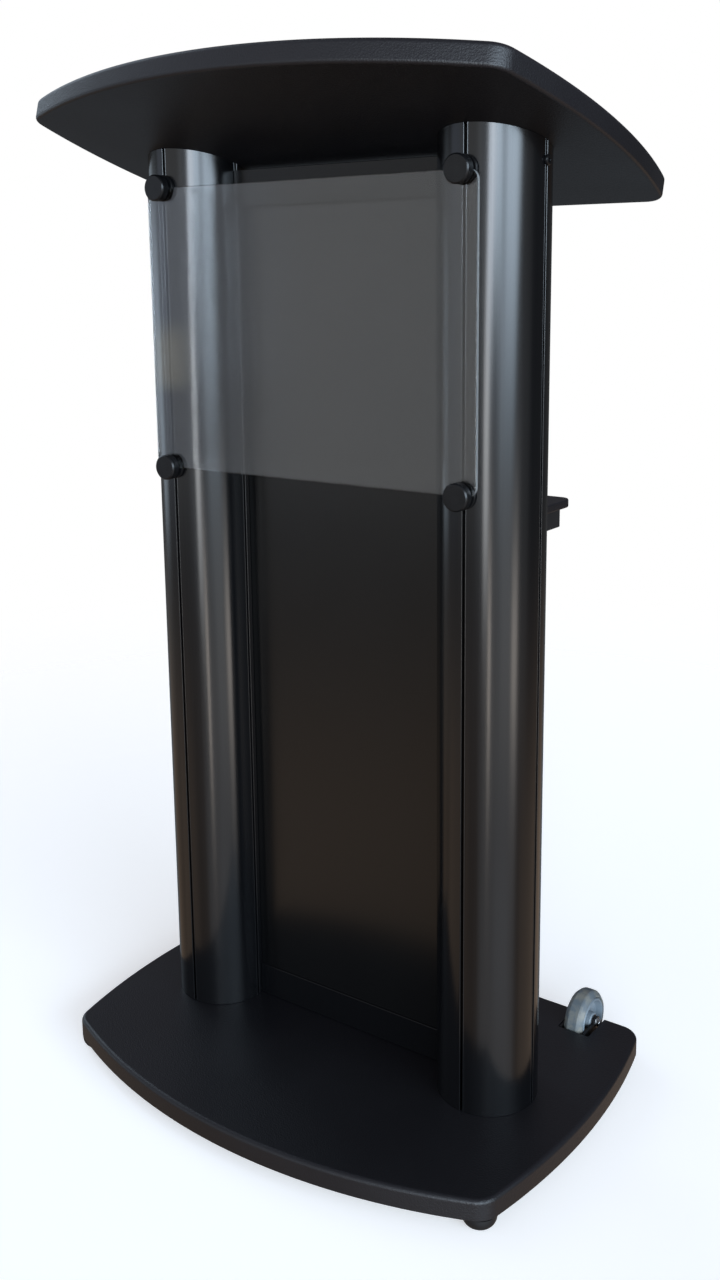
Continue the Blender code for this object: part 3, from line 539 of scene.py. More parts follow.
def foot_rubber():
    """Matte black rubber."""
    return plain_finish(
        "foot_rubber_black", (50.0, 3.0), (0.0065, 0.0066, 0.0072), (0.0105, 0.0105, 0.011),
        (1300.0, 3.0), (0.45, 0.6), (0.2, 0.0003), even=True, Specular_IOR_Level=0.28)


def nylon_black():
    """Black moulded nylon."""
    return plain_finish(
        "nylon_black", (120.0, 2.0), (0.014, 0.014, 0.015), (0.022, 0.022, 0.023),
        (1500.0, 2.0), (0.36, 0.5), (0.12, 0.0002), IOR=1.53)


LOOKS = {
    "board": board_foil(),
    "column": anodised(),
    "panel": panel_sheet(),
    "acrylic": acrylic(),
    "fitting": fitting_black(),
    "steel": bright_steel(),
    "bracket": powder_coat(),
    "tyre": tyre_rubber(),
    "wheel_core": wheel_plastic(),
    "foot_rubber": foot_rubber(),
    "nylon": nylon_black(),
}


def dress_cad_nodes():
    """Give every carried-over CAD node the look of its material slot."""
    slots = {entry["node"]: entry["material_slot"] for entry in frame["record"]["subparts"]}
    for name, item in frame["nodes"].items():
        look = LOOKS[slots[name]]
        if not item.material_slots:
            item.data.materials.append(look)
        for slot in item.material_slots:
            slot.material = look


def show(item, slot, body, *nodes):
    """Finish a piece: its look, its body, and the CAD nodes it stands for."""
    item.data.materials.clear()
    item.data.materials.append(LOOKS[slot])
    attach(item, body)
    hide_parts(*nodes)


# ------------------------ boards

PLAN_HALF_WIDTH = 283.0 * MM
PLAN_SIDE_LENGTH = 356.0 * MM
PLAN_FRONT_BOW = 62.5 * MM
PLAN_SIDE_BOW = 21.2 * MM
PLAN_FRONT_RADIUS = 28.0 * MM
PLAN_BACK_RADIUS = 24.0 * MM

BASE_LOW_EDGE = 1.2 * MM
BASE_HIGH_EDGE = 5.0 * MM
BOLT_HOLE_RADIUS = 5.3 * MM
BOLT_SEAT_RADIUS = 11.0 * MM
BOLT_SEAT_DEPTH = 8.0 * MM
NOTCH_X = 220.25 * MM
NOTCH_HALF_WIDTH = 19.75 * MM
NOTCH_DEPTH = 37.0 * MM

TOP_BACK_V = 253.0 * MM
TOP_LOW_EDGE = 3.6 * MM
TOP_HIGH_EDGE = 5.5 * MM

STOP_HALF_LENGTH = 180.0 * MM
STOP_FRONT_V = 232.0 * MM
STOP_BACK_V = 240.0 * MM
STOP_TOP = BOARD_T + 12.3 * MM
PEG_X = 140.0 * MM
PEG_V = 236.0 * MM
PEG_BOTTOM = 14.0 * MM
PEG_RADIUS = 4.0 * MM
PEG_TIP_RADIUS = 3.6 * MM
PEG_CHAMFER = 0.5 * MM
PEG_LENGTH = 11.0 * MM

SHELF_NOTCH_RADIUS = 56.0 * MM
SHELF_CORNER_RADIUS = 12.0 * MM
ARM_SEAT_RADIUS = 5.2 * MM
ARM_SEAT_DEPTH = 6.0 * MM
ARM_HOLE_RADIUS = 2.3 * MM


def circles_meet(first, first_radius, second, second_radius):
    """Where two circles cross, on the front right side."""
    dx = second[0] - first[0]
    dy = second[1] - first[1]
    distance = math.hypot(dx, dy)
    along = (first_radius ** 2 - second_radius ** 2 + distance ** 2) / (2 * distance)
    across = math.sqrt(first_radius ** 2 - along ** 2)
    middle = (first[0] + along * dx / distance, first[1] + along * dy / distance)
    options = [
        (middle[0] + sign * across * dy / distance, middle[1] - sign * across * dx / distance)
        for sign in (1, -1)]
    return max(options, key=lambda point: point[0] - point[1])


def bow_radius(half_chord, bow):
    """Radius of the arc that stands off its chord by a bow."""
    return (half_chord ** 2 + bow ** 2) / (2 * bow)


def board_plan(back, inset):
    """Outline of a board moved inwards by an inset: straight back, bowed sides and front."""
    near = PLAN_FRONT_RADIUS
    far = PLAN_BACK_RADIUS
    front_corner = back - PLAN_SIDE_LENGTH
    front_radius = bow_radius(PLAN_HALF_WIDTH, PLAN_FRONT_BOW)
    side_radius = bow_radius(PLAN_SIDE_LENGTH / 2, PLAN_SIDE_BOW)
    front_centre = (0.0, front_corner - PLAN_FRONT_BOW + front_radius)
    side_centre = (PLAN_HALF_WIDTH + PLAN_SIDE_BOW - side_radius, back - PLAN_SIDE_LENGTH / 2)
    front_round = circles_meet(front_centre, front_radius - near, side_centre, side_radius - near)
    back_rise = back - far - side_centre[1]
    back_round = (
        side_centre[0] + math.sqrt((side_radius - far) ** 2 - back_rise ** 2), back - far)
    front_turn = bearing(front_centre, front_round)
    side_start = bearing(side_centre, front_round)
    side_end = bearing(side_centre, back_round)
    right = arc(front_centre, front_radius - inset, -QUARTER, front_turn, 40)
    right += arc(front_round, near - inset, front_turn, side_start, 14)[1:]
    right += arc(side_centre, side_radius - inset, side_start, side_end, 36)[1:]
    right += arc(back_round, far - inset, side_end, QUARTER, 14)[1:]
    return right + mirrored_x(right[1:])


def board(name, back, bottom, thickness, low_edge, high_edge, matrix=None):
    """Board with its edges rounded underneath and on top."""
    low_steps = 6
    high_steps = 8
    section = []
    for k in range(low_steps + 1):
        turn = math.pi / 2 * k / low_steps
        section.append((low_edge * (1 - math.sin(turn)), low_edge * (1 - math.cos(turn))))
    for k in range(high_steps + 1):
        turn = math.pi / 2 * k / high_steps
        section.append((
            high_edge * (1 - math.cos(turn)), thickness - high_edge * (1 - math.sin(turn))))
    bm = bmesh.new()
    rings = [
        [bm.verts.new((x, y, bottom + height)) for x, y in board_plan(back, inset)]
        for inset, height in section]
    count = len(rings[0])
    for a, b in zip(rings, rings[1:]):
        for k in range(count):
            n = (k + 1) % count
            bm.faces.new((a[k], a[n], b[n], b[k]))
    bm.faces.new(list(reversed(rings[0])))
    bm.faces.new(rings[-1])
    return from_bmesh(bm, name, 40.0, matrix)


def make_base_board():
    """Base board with a counterbored hole under each column and a notch round each wheel."""
    above, below = 0.04, -0.01          # heights past the board, for the hole's cutter
    low_z, high_z = -0.02, 0.1          # and for the notch's
    behind_y = 0.32
    base = board(
        "base_board_shell", BASE_HIGH.y, BASE_LOW.z, BOARD_T, BASE_LOW_EDGE, BASE_HIGH_EDGE)
    for label, side in SIDES.items():
        bolt_mid = extent(label + "_base_bolt")[2]
        seat = lathe("cut", [
            (0.0, above), (BOLT_HOLE_RADIUS, above), (BOLT_HOLE_RADIUS, BOLT_SEAT_DEPTH),
            (BOLT_SEAT_RADIUS, BOLT_SEAT_DEPTH), (BOLT_SEAT_RADIUS, below), (0.0, below)],
            facing(bolt_mid.x, bolt_mid.y, BASE_LOW.z, "Z"), steps=48)
        carve(base, seat)
        notch = soft_box(
            "cut", (side * NOTCH_X - NOTCH_HALF_WIDTH, WHEEL_MID.y - NOTCH_DEPTH, low_z),
            (side * NOTCH_X + NOTCH_HALF_WIDTH, behind_y, high_z), edge=2.2 * MM, steps=4)
        carve(base, notch)
    show(base, "board", "stand", "base_board")


def make_top_board():
    """Sloping top board and the bar that stops papers sliding off its back edge."""
    top = board(
        "top_board_shell", TOP_BACK_V, 0.0, BOARD_T, TOP_LOW_EDGE, TOP_HIGH_EDGE, SLOPE_FRAME)
    show(top, "board", "stand", "top_board")
    stop = soft_box(
        "paper_stop_bar", (-STOP_HALF_LENGTH, STOP_FRONT_V, BOARD_T + GAP),
        (STOP_HALF_LENGTH, STOP_BACK_V, STOP_TOP), edge=2.2 * MM, steps=4, matrix=SLOPE_FRAME)
    for side in SIDES.values():
        peg = lathe("peg", [
            (0.0, 0.0), (PEG_TIP_RADIUS, 0.0), (PEG_RADIUS, PEG_CHAMFER),
            (PEG_RADIUS, PEG_LENGTH), (0.0, PEG_LENGTH)],
            SLOPE_FRAME @ Matrix.Translation((side * PEG_X, PEG_V, PEG_BOTTOM)), steps=32)
        carve(stop, peg, "UNION")
    show(stop, "board", "stand", "paper_stop")


def make_shelf():
    """Shelf board, notched round the columns, with rounded rear corners, and its two arms."""
    reach = SHELF_NOTCH_RADIUS
    front = SHELF_LOW.y
    back = SHELF_HIGH.y
    half = SHELF_HIGH.x
    start = math.atan2(front - COLUMN_Y, -math.sqrt(reach ** 2 - (front - COLUMN_Y) ** 2))
    end = math.acos((half - COLUMN_X) / reach)
    hollow = arc((COLUMN_X, COLUMN_Y), reach, start, end, 28)
    corner = arc(
        (half - SHELF_CORNER_RADIUS, back - SHELF_CORNER_RADIUS), SHELF_CORNER_RADIUS, 0.0,
        QUARTER, 10)
    right = hollow + corner
    shelf = outline_solid(
        "shelf_board_shell", [right + mirrored_x(right)], SHELF_HIGH.z - SHELF_LOW.z,
        Matrix.Translation((0.0, 0.0, SHELF_LOW.z)), edge=1.8 * MM, edge_steps=4)
    show(shelf, "board", "stand", "shelf_board")
    behind, ahead = 0.008, -0.09        # past the arm's two ends, for the hole's cutter
    for label in SIDES:
        low, high, mid = extent(label + "_shelf_arm")
        arm = soft_box(label + "_shelf_arm_bar", low, high, edge=1.0 * MM)
        hole = lathe("cut", [
            (0.0, behind), (ARM_SEAT_RADIUS, behind), (ARM_SEAT_RADIUS, -ARM_SEAT_DEPTH),
            (ARM_HOLE_RADIUS, -ARM_SEAT_DEPTH), (ARM_HOLE_RADIUS, ahead), (0.0, ahead)],
            facing(mid.x, high.y, mid.z, "Y"), steps=32)
        carve(arm, hole)
        show(arm, "bracket", "stand", label + "_shelf_arm")


# ------------------------ columns, rails and panel

SLOT_HALF_NECK = 1.5 * MM
SLOT_BEAD = 0.7 * MM
SLOT_BEAD_PROUD = 0.3 * MM
SLOT_HALF_CAVITY = 5.5 * MM
SLOT_NECK_DEPTH = 3.5 * MM
SLOT_DEPTH = 9.5 * MM
COLUMN_WALL = 3.0 * MM
BOSS_HALF_WIDTH = 8.0 * MM
BOSS_DRAFT = 0.3 * MM
BOSS_DEPTH = 12.0 * MM

RAIL_REACH = COLUMN_R + GAP
RAIL_WEB = 2.5 * MM
RAIL_BACK_LEG = 7.0 * MM
RAIL_PIN_RADIUS = 2.8 * MM
RAIL_PIN_LENGTH = 18.0 * MM
RAIL_PIN_CHAMFER = 0.5 * MM


def quarter_turns(points):
    """Points repeated at each quarter turn about the origin."""
    outline = []
    for quarter in range(4):
        turn = math.radians(90.0 * quarter)
        for x, y in points:
            outline.append((
                x * math.cos(turn) - y * math.sin(turn), x * math.sin(turn) + y * math.cos(turn)))
    return outline


def column_outline():
    """Outer outline of the extrusion: a circle with a beaded T-slot facing each quarter."""
    neck = SLOT_HALF_NECK
    bead = SLOT_BEAD
    cavity = SLOT_HALF_CAVITY
    bead_x = COLUMN_R - bead + SLOT_BEAD_PROUD
    neck_bottom = COLUMN_R - SLOT_NECK_DEPTH
    floor = COLUMN_R - SLOT_DEPTH
    upper = arc((bead_x, neck + bead), bead, math.radians(62.0), -QUARTER, 10)
    lower = [(x, -y) for x, y in upper]
    slot = lower + [
        (neck_bottom, -neck), (neck_bottom, -cavity), (floor, -cavity), (floor, cavity),
        (neck_bottom, cavity), (neck_bottom, neck)] + upper[::-1]
    start = bearing((0.0, 0.0), upper[0])
    rim = arc((0.0, 0.0), COLUMN_R, start, QUARTER - start, 40)[1:-1]
    return quarter_turns(slot + rim)


def chamber_outline():
    """Inner outline of the extrusion."""
    radius = COLUMN_R - COLUMN_WALL
    start = math.asin((BOSS_HALF_WIDTH + BOSS_DRAFT) / radius)
    boss_face = COLUMN_R - BOSS_DEPTH
    rim = arc((0.0, 0.0), radius, start, QUARTER - start, 10)
    return quarter_turns([(boss_face, -BOSS_HALF_WIDTH), (boss_face, BOSS_HALF_WIDTH)] + rim)


def make_columns():
    """Extrusions, square at the foot and cut to the board's slope at the top."""
    loops = [column_outline(), chamber_outline()]
    length = 1.0
    for label, side in SIDES.items():
        item = outline_solid(label + "_column_tube", loops, length)
        for vert in item.data.vertices:
            if vert.co.z > length / 2:
                drop = (vert.co.y + COLUMN_R) * math.tan(SLOPE)
                vert.co.z = COLUMN_HIGH.z - drop
            else:
                vert.co.z = COLUMN_LOW.z
            vert.co.x += side * COLUMN_X
            vert.co.y += COLUMN_Y
        soft_edges(item, degrees=25.0)
        show(item, "column", "stand", label + "_column")


def rail_outline(low_y, high_y):
    """Plan of a rail or panel whose ends follow the columns."""
    def edge(y):
        return math.pi - math.asin((y - COLUMN_Y) / RAIL_REACH)
    right = arc((COLUMN_X, COLUMN_Y), RAIL_REACH, edge(low_y), edge(high_y), 6)
    return right + mirrored_x(right)


def make_rails_and_panel():
    """Cross rails channelled for the panel and pinned to the columns, and the panel sheet."""
    pin_y = PANEL_HIGH.y + GAP + RAIL_BACK_LEG / 2
    satin = anodised("black_anodised_rail", specular=0.30)
    for name, web in (("top_rail", -RAIL_WEB), ("bottom_rail", RAIL_WEB)):
        low, high, mid = extent(name)
        rail = outline_solid(
            name + "_bar", [rail_outline(low.y, high.y)], high.z - low.z,
            Matrix.Translation((0.0, 0.0, low.z)), edge=0.7 * MM, edge_steps=4)
        channel = soft_box(
            "channel", (-COLUMN_X, PANEL_LOW.y - GAP, low.z + web),
            (COLUMN_X, PANEL_HIGH.y + GAP, high.z + web), edge=0.2 * MM, steps=1)
        carve(rail, channel)
        for side in SIDES.values():
            start = reach_out(name, side)[1] - RAIL_PIN_LENGTH
            pin = lathe("pin", [
                (0.0, RAIL_PIN_LENGTH), (RAIL_PIN_RADIUS - RAIL_PIN_CHAMFER, RAIL_PIN_LENGTH),
                (RAIL_PIN_RADIUS, RAIL_PIN_LENGTH - RAIL_PIN_CHAMFER), (RAIL_PIN_RADIUS, 0.0),
                (0.0, 0.0)],
                facing(side * start, pin_y, mid.z, "X", side), steps=32)
            carve(rail, pin, "UNION")
        show(rail, "column", "stand", name)
        rail.data.materials[0] = satin
    panel = outline_solid(
        "centre_panel_sheet", [rail_outline(PANEL_LOW.y, PANEL_HIGH.y)],
        PANEL_HIGH.z - PANEL_LOW.z, Matrix.Translation((0.0, 0.0, PANEL_LOW.z)),
        edge=0.5 * MM, edge_steps=2)
    show(panel, "panel", "stand", "centre_panel")


# ------------------------ front plate and standoffs

PLATE_NOTCH_RADIUS = 2.6 * MM
PLATE_CORNER_RADIUS = 10.0 * MM
CUT_EDGE_NORMAL = 0.2        # a face whose normal leans less than this to the front is an edge

STUD_RADIUS = 1.95 * MM
SPACER_BORE = 2.25 * MM


def make_front_plate():
    """Clear plate with satin cut edges, notched round the standoff studs."""
    notch = PLATE_NOTCH_RADIUS
    low = (PLATE_LOW.x, PLATE_LOW.z)
    high = (PLATE_HIGH.x, PLATE_HIGH.z)
    bottom = []
    top = []
    for side in (-1, 1):
        bottom += arc((side * COLUMN_X, low[1]), notch, math.pi, 0.0, 8)
        top += arc((-side * COLUMN_X, high[1]), notch, 0.0, -math.pi, 8)
    corners = rounded_rectangle(low, high, PLATE_CORNER_RADIUS)
    per = len(corners) // 4
    outline = corners[:per] + bottom + corners[per:3 * per] + top + corners[3 * per:]
    thickness = PLATE_HIGH.y - PLATE_LOW.y
    stand_up = Matrix.Translation((0.0, PLATE_HIGH.y, 0.0)) @ Matrix.Rotation(QUARTER, 4, "X")
    plate = outline_solid(
        "front_plate_sheet", [outline], thickness, stand_up, edge=0.35 * MM, edge_steps=2)
    show(plate, "acrylic", "stand", "front_plate")
    plate.data.attributes.remove(plate.data.attributes["custom_normal"])
    plate.data.shade_flat()
    plate.data.materials.append(acrylic_edge())
    for face in plate.data.polygons:
        if abs(face.normal.y) < CUT_EDGE_NORMAL:
            face.material_index = 1


def make_standoffs():
    """Knobs in front of the plate, with their studs, and the washers behind it."""
    for level in LEVELS:
        for label in SIDES:
            place = level + "_" + label
            low, high, mid = extent("standoff_cap_" + place)
            cap_back = PLATE_LOW.y - GAP
            thick = cap_back - low.y
            stud = high.y - cap_back
            radius = (high.x - low.x) / 2
            profile = [(0.0, thick)] + fillet([
                (radius - 2.4 * MM, thick), (radius - 1.4 * MM, thick), (radius, thick - 1.5 * MM),
                (radius, 0.0), (radius - 0.8 * MM, 0.0)], radius=0.9 * MM)[1:]
            profile += [(STUD_RADIUS, 0.0), (STUD_RADIUS, -stud), (0.0, -stud)]
            knob = lathe(
                "standoff_knob_" + place, profile, facing(mid.x, cap_back, mid.z, "Y", -1),
                steps=72)
            show(knob, "fitting", "stand", "standoff_cap_" + place)
            low, high, mid = extent("standoff_spacer_" + place)
            thick = high.y - low.y
            ring = fillet([
                (SPACER_BORE, 0.0), (radius, 0.0), (radius, thick), (SPACER_BORE, thick)],
                radius=0.5 * MM, steps=3, closed=True)
            spacer = lathe(
                "standoff_washer_" + place, ring, facing(mid.x, low.y, mid.z, "Y"), steps=72,
                closed=True)
            show(spacer, "fitting", "stand", "standoff_spacer_" + place)


# ------------------------ screws

LOCK_HEAD_RADIUS = 5.2 * MM
ARM_HEAD_RADIUS = 4.6 * MM
ARM_HEAD_HEIGHT = 4.5 * MM
SHANK_RADIUS = 1.95 * MM
PANEL_HEAD_RADIUS = 4.0 * MM
PANEL_HEAD_HEIGHT = 2.4 * MM
PANEL_SHANK_RADIUS = 1.9 * MM
PANEL_KEY_HALF_WIDTH = 1.3 * MM
KEY_HALF_WIDTH = 2.0 * MM


def socket_head(radius, height, shank_radius, shank, across=KEY_HALF_WIDTH, dome=0.25):
    """Profile of a round-headed fastener with a dimple for its key."""
    rim = fillet([
        (across, height * 0.55), (across, height), (radius * (1 - dome), height),
        (radius, height * (1 - dome)), (radius, 0.0), (shank_radius, 0.0)],
        radius=0.35 * MM, steps=3)
    return [(0.0, height * 0.5)] + rim + [(shank_radius, -shank), (0.0, -shank)]


def back_screw(name, node, steps, radius, height, shank_radius, **dimple):
    """Screw driven in from behind."""
    low, high, mid = extent(node)
    seat = high.y - height
    screw = lathe(
        name, socket_head(radius, height, shank_radius, seat - low.y, **dimple),
        facing(mid.x, seat, mid.z, "Y"), steps=steps)
    show(screw, "fitting", "stand", node)


def make_screws():
    """Lock screws in the outer slots, arm screws, and the screws that hold the panel."""
    for label, side in SIDES.items():
        mid = extent(label + "_lock_screw")[2]
        inner, outer = reach_out(label + "_lock_screw", side)
        seat = COLUMN_X + COLUMN_R + GAP
        screw = lathe(
            label + "_lock_button",
            socket_head(LOCK_HEAD_RADIUS, outer - seat, SHANK_RADIUS, seat - inner),
            facing(side * seat, mid.y, mid.z, "X", side), steps=40)
        show(screw, "fitting", "stand", label + "_lock_screw")
        back_screw(
            label + "_arm_cap_screw", label + "_arm_screw", 40, ARM_HEAD_RADIUS, ARM_HEAD_HEIGHT,
            SHANK_RADIUS, dome=0.1)
        for level in LEVELS:
            place = level + "_" + label
            back_screw(
                "panel_button_" + place, "panel_screw_" + place, 32, PANEL_HEAD_RADIUS,
                PANEL_HEAD_HEIGHT, PANEL_SHANK_RADIUS, across=PANEL_KEY_HALF_WIDTH, dome=0.4)


# ------------------------ feet and wheels

WHEEL_LOW, WHEEL_HIGH, WHEEL_MID = extent("right_tyre")
WHEEL_HALF_WIDTH = (WHEEL_HIGH.x - WHEEL_LOW.x) / 2
WHEEL_RADIUS = (WHEEL_HIGH.z - WHEEL_LOW.z) / 2

FOOT_FLAT_RADIUS = 8.0 * MM
FOOT_RIM_HEIGHT = 2.6 * MM
FOOT_DOME_TOP = 3.0 * MM
FOOT_PEG_RADIUS = 4.0 * MM
FOOT_DIMPLE_RADIUS = 3.0 * MM
FOOT_DIMPLE_MOUTH = 3.6 * MM
FOOT_DIMPLE_DEPTH = 2.0 * MM

RIM_RADIUS = 26.8 * MM
CORE_BORE = 6.07 * MM
BUSH_BORE = 3.07 * MM
BUSH_RADIUS = 6.0 * MM
FLANGE_RADIUS = 7.6 * MM
AXLE_RADIUS = 3.0 * MM
AXLE_HEAD_RADIUS = 5.2 * MM
AXLE_WASHER_RADIUS = 6.0 * MM
AXLE_WASHER_THICKNESS = 0.5 * MM
EAR_OUTER_X = 231.2 * MM
EAR_THICKNESS = 2.4 * MM


def make_feet():
    """Domed rubber feet with a peg into the base and a dimple underneath."""
    steps = 14
    for end in ("front", "back"):
        for label in SIDES:
            low, high, mid = extent(end + "_" + label + "_foot")
            skirt = BASE_LOW.z - GAP
            height = skirt - low.z
            radius = (high.x - low.x) / 2
            dome = [(radius, 0.0), (radius, -FOOT_RIM_HEIGHT)]
            for k in range(1, steps + 1):
                turn = math.pi / 2 * k / steps
                dome.append((
                    FOOT_FLAT_RADIUS + (radius - FOOT_FLAT_RADIUS) * math.cos(turn),
                    -FOOT_DOME_TOP - (height - FOOT_DOME_TOP) * math.sin(turn)))
            profile = [
                (0.0, high.z - skirt), (FOOT_PEG_RADIUS, high.z - skirt), (FOOT_PEG_RADIUS, 0.0)]
            profile += dome + [
                (FOOT_DIMPLE_MOUTH, -height), (FOOT_DIMPLE_RADIUS, FOOT_DIMPLE_DEPTH - height),
                (0.0, FOOT_DIMPLE_DEPTH - height)]
            foot = lathe(
                end + "_" + label + "_foot_dome", profile, facing(mid.x, mid.y, skirt, "Z"))
            show(foot, "foot_rubber", "stand", end + "_" + label + "_foot")


def both_faces(points, skip=0):
    """A wheel's half profile and its mirror image, less the points on the mirror line."""
    return points + [(r, -h) for r, h in reversed(points[:len(points) - skip])]


def make_wheel(label, side):
    """Tyre, core and bush, which turn together."""
    body = label + "_wheel"
    half = WHEEL_HALF_WIDTH
    place = facing(side * WHEEL_MID.x, WHEEL_MID.y, WHEEL_MID.z, "X", side)
    tread = both_faces([
        (RIM_RADIUS, half - 2.6 * MM), (27.7 * MM, half - 2.6 * MM), (28.3 * MM, half - 0.2 * MM),
        (29.3 * MM, half - 0.2 * MM), (33.4 * MM, 7.4 * MM), (WHEEL_RADIUS - 0.1 * MM, 5.4 * MM),
        (WHEEL_RADIUS, 0.0)], skip=1)
    tyre = lathe(
        label + "_tyre_moulding", fillet(tread, 0.55 * MM, closed=True), place, steps=96,
        closed=True, degrees=40.0)
    show(tyre, "tyre", body, label + "_tyre")
    dish = both_faces([
        (CORE_BORE, half), (8.8 * MM, half), (9.6 * MM, half - 1.2 * MM), (10.2 * MM, 4.4 * MM),
        (12.6 * MM, 3.4 * MM), (20.8 * MM, 5.2 * MM), (23.4 * MM, half - 1.6 * MM),
        (24.1 * MM, half), (25.7 * MM, half), (26.5 * MM, half - 1.2 * MM)])
    core = lathe(
        label + "_wheel_hub", fillet(dish, 0.7 * MM, closed=True), place, steps=80,
        closed=True, degrees=40.0)
    show(core, "wheel_core", body, label + "_wheel_core")
    end = reach_out(label + "_wheel_bush", side)[1] - WHEEL_MID.x
    flange = half + GAP
    sleeve = [
        (BUSH_BORE, end), (FLANGE_RADIUS, end), (FLANGE_RADIUS, flange), (BUSH_RADIUS, flange),
        (BUSH_RADIUS, -half), (BUSH_BORE, -half)]
    bush = lathe(
        label + "_wheel_sleeve", fillet(sleeve, 0.25 * MM, steps=2, closed=True), place, steps=48,
        closed=True)
    show(bush, "nylon", body, label + "_wheel_bush")


def make_axle_bolt(label, side):
    """Bolt through the bracket's ears: shank, washer face and chamfered hexagon head."""
    mid = extent(label + "_axle_bolt")[2]
    inner, outer = reach_out(label + "_axle_bolt", side)
    seat = EAR_OUTER_X + EAR_THICKNESS + GAP
    place = facing(side * seat, mid.y, mid.z, "X", side)
    washer = AXLE_WASHER_RADIUS
    thick = AXLE_WASHER_THICKNESS
    bolt = lathe(label + "_hex_bolt", [
        (0.0, thick), (washer - 0.3 * MM, thick), (washer, thick / 2), (washer, 0.0),
        (AXLE_RADIUS, 0.0), (AXLE_RADIUS, inner - seat), (0.0, inner - seat)], place, steps=48)
    crown = outer - seat
    foot = 0.2 * MM
    head = lathe("head", [
        (0.0, crown), (3.9 * MM, crown), (4.7 * MM, crown - 0.45 * MM),
        (AXLE_HEAD_RADIUS, crown - 1.0 * MM), (AXLE_HEAD_RADIUS, foot), (0.0, foot)],
        place, steps=6, degrees=20.0)
    carve(bolt, head, "UNION")
    show(bolt, "steel", "stand", label + "_axle_bolt")


def make_wheels():
    for label, side in SIDES.items():
        make_wheel(label, side)
        make_axle_bolt(label, side)


# ------------------------ studio

WHOLE_TURN = 180.0           # a patch has no edge where its limit is this or more, in degrees


def lamp(turn, rise, strength, color, soft_turn, soft_rise, lean=(0.0, 0.0)):
    """One soft-edged patch of light on the studio walls; angles in degrees.

    turn runs from the front towards the right, rise from the horizon up, and lean tilts
    the left and right edges.
    """
    return (turn, rise, strength, color, soft_turn, soft_rise, lean)


COOL = (0.86, 0.97, 1.10)
BLUE = (0.80, 0.98, 1.16)
NEUTRAL = (0.98, 1.0, 1.02)
SKY = (0.84, 0.98, 1.24)
AMBER = (1.15, 1.0, 0.55)
VIOLET = (1.04, 0.95, 1.18)
WARM = (1.12, 1.0, 0.90)
BROWN = (1.30, 0.97, 0.72)

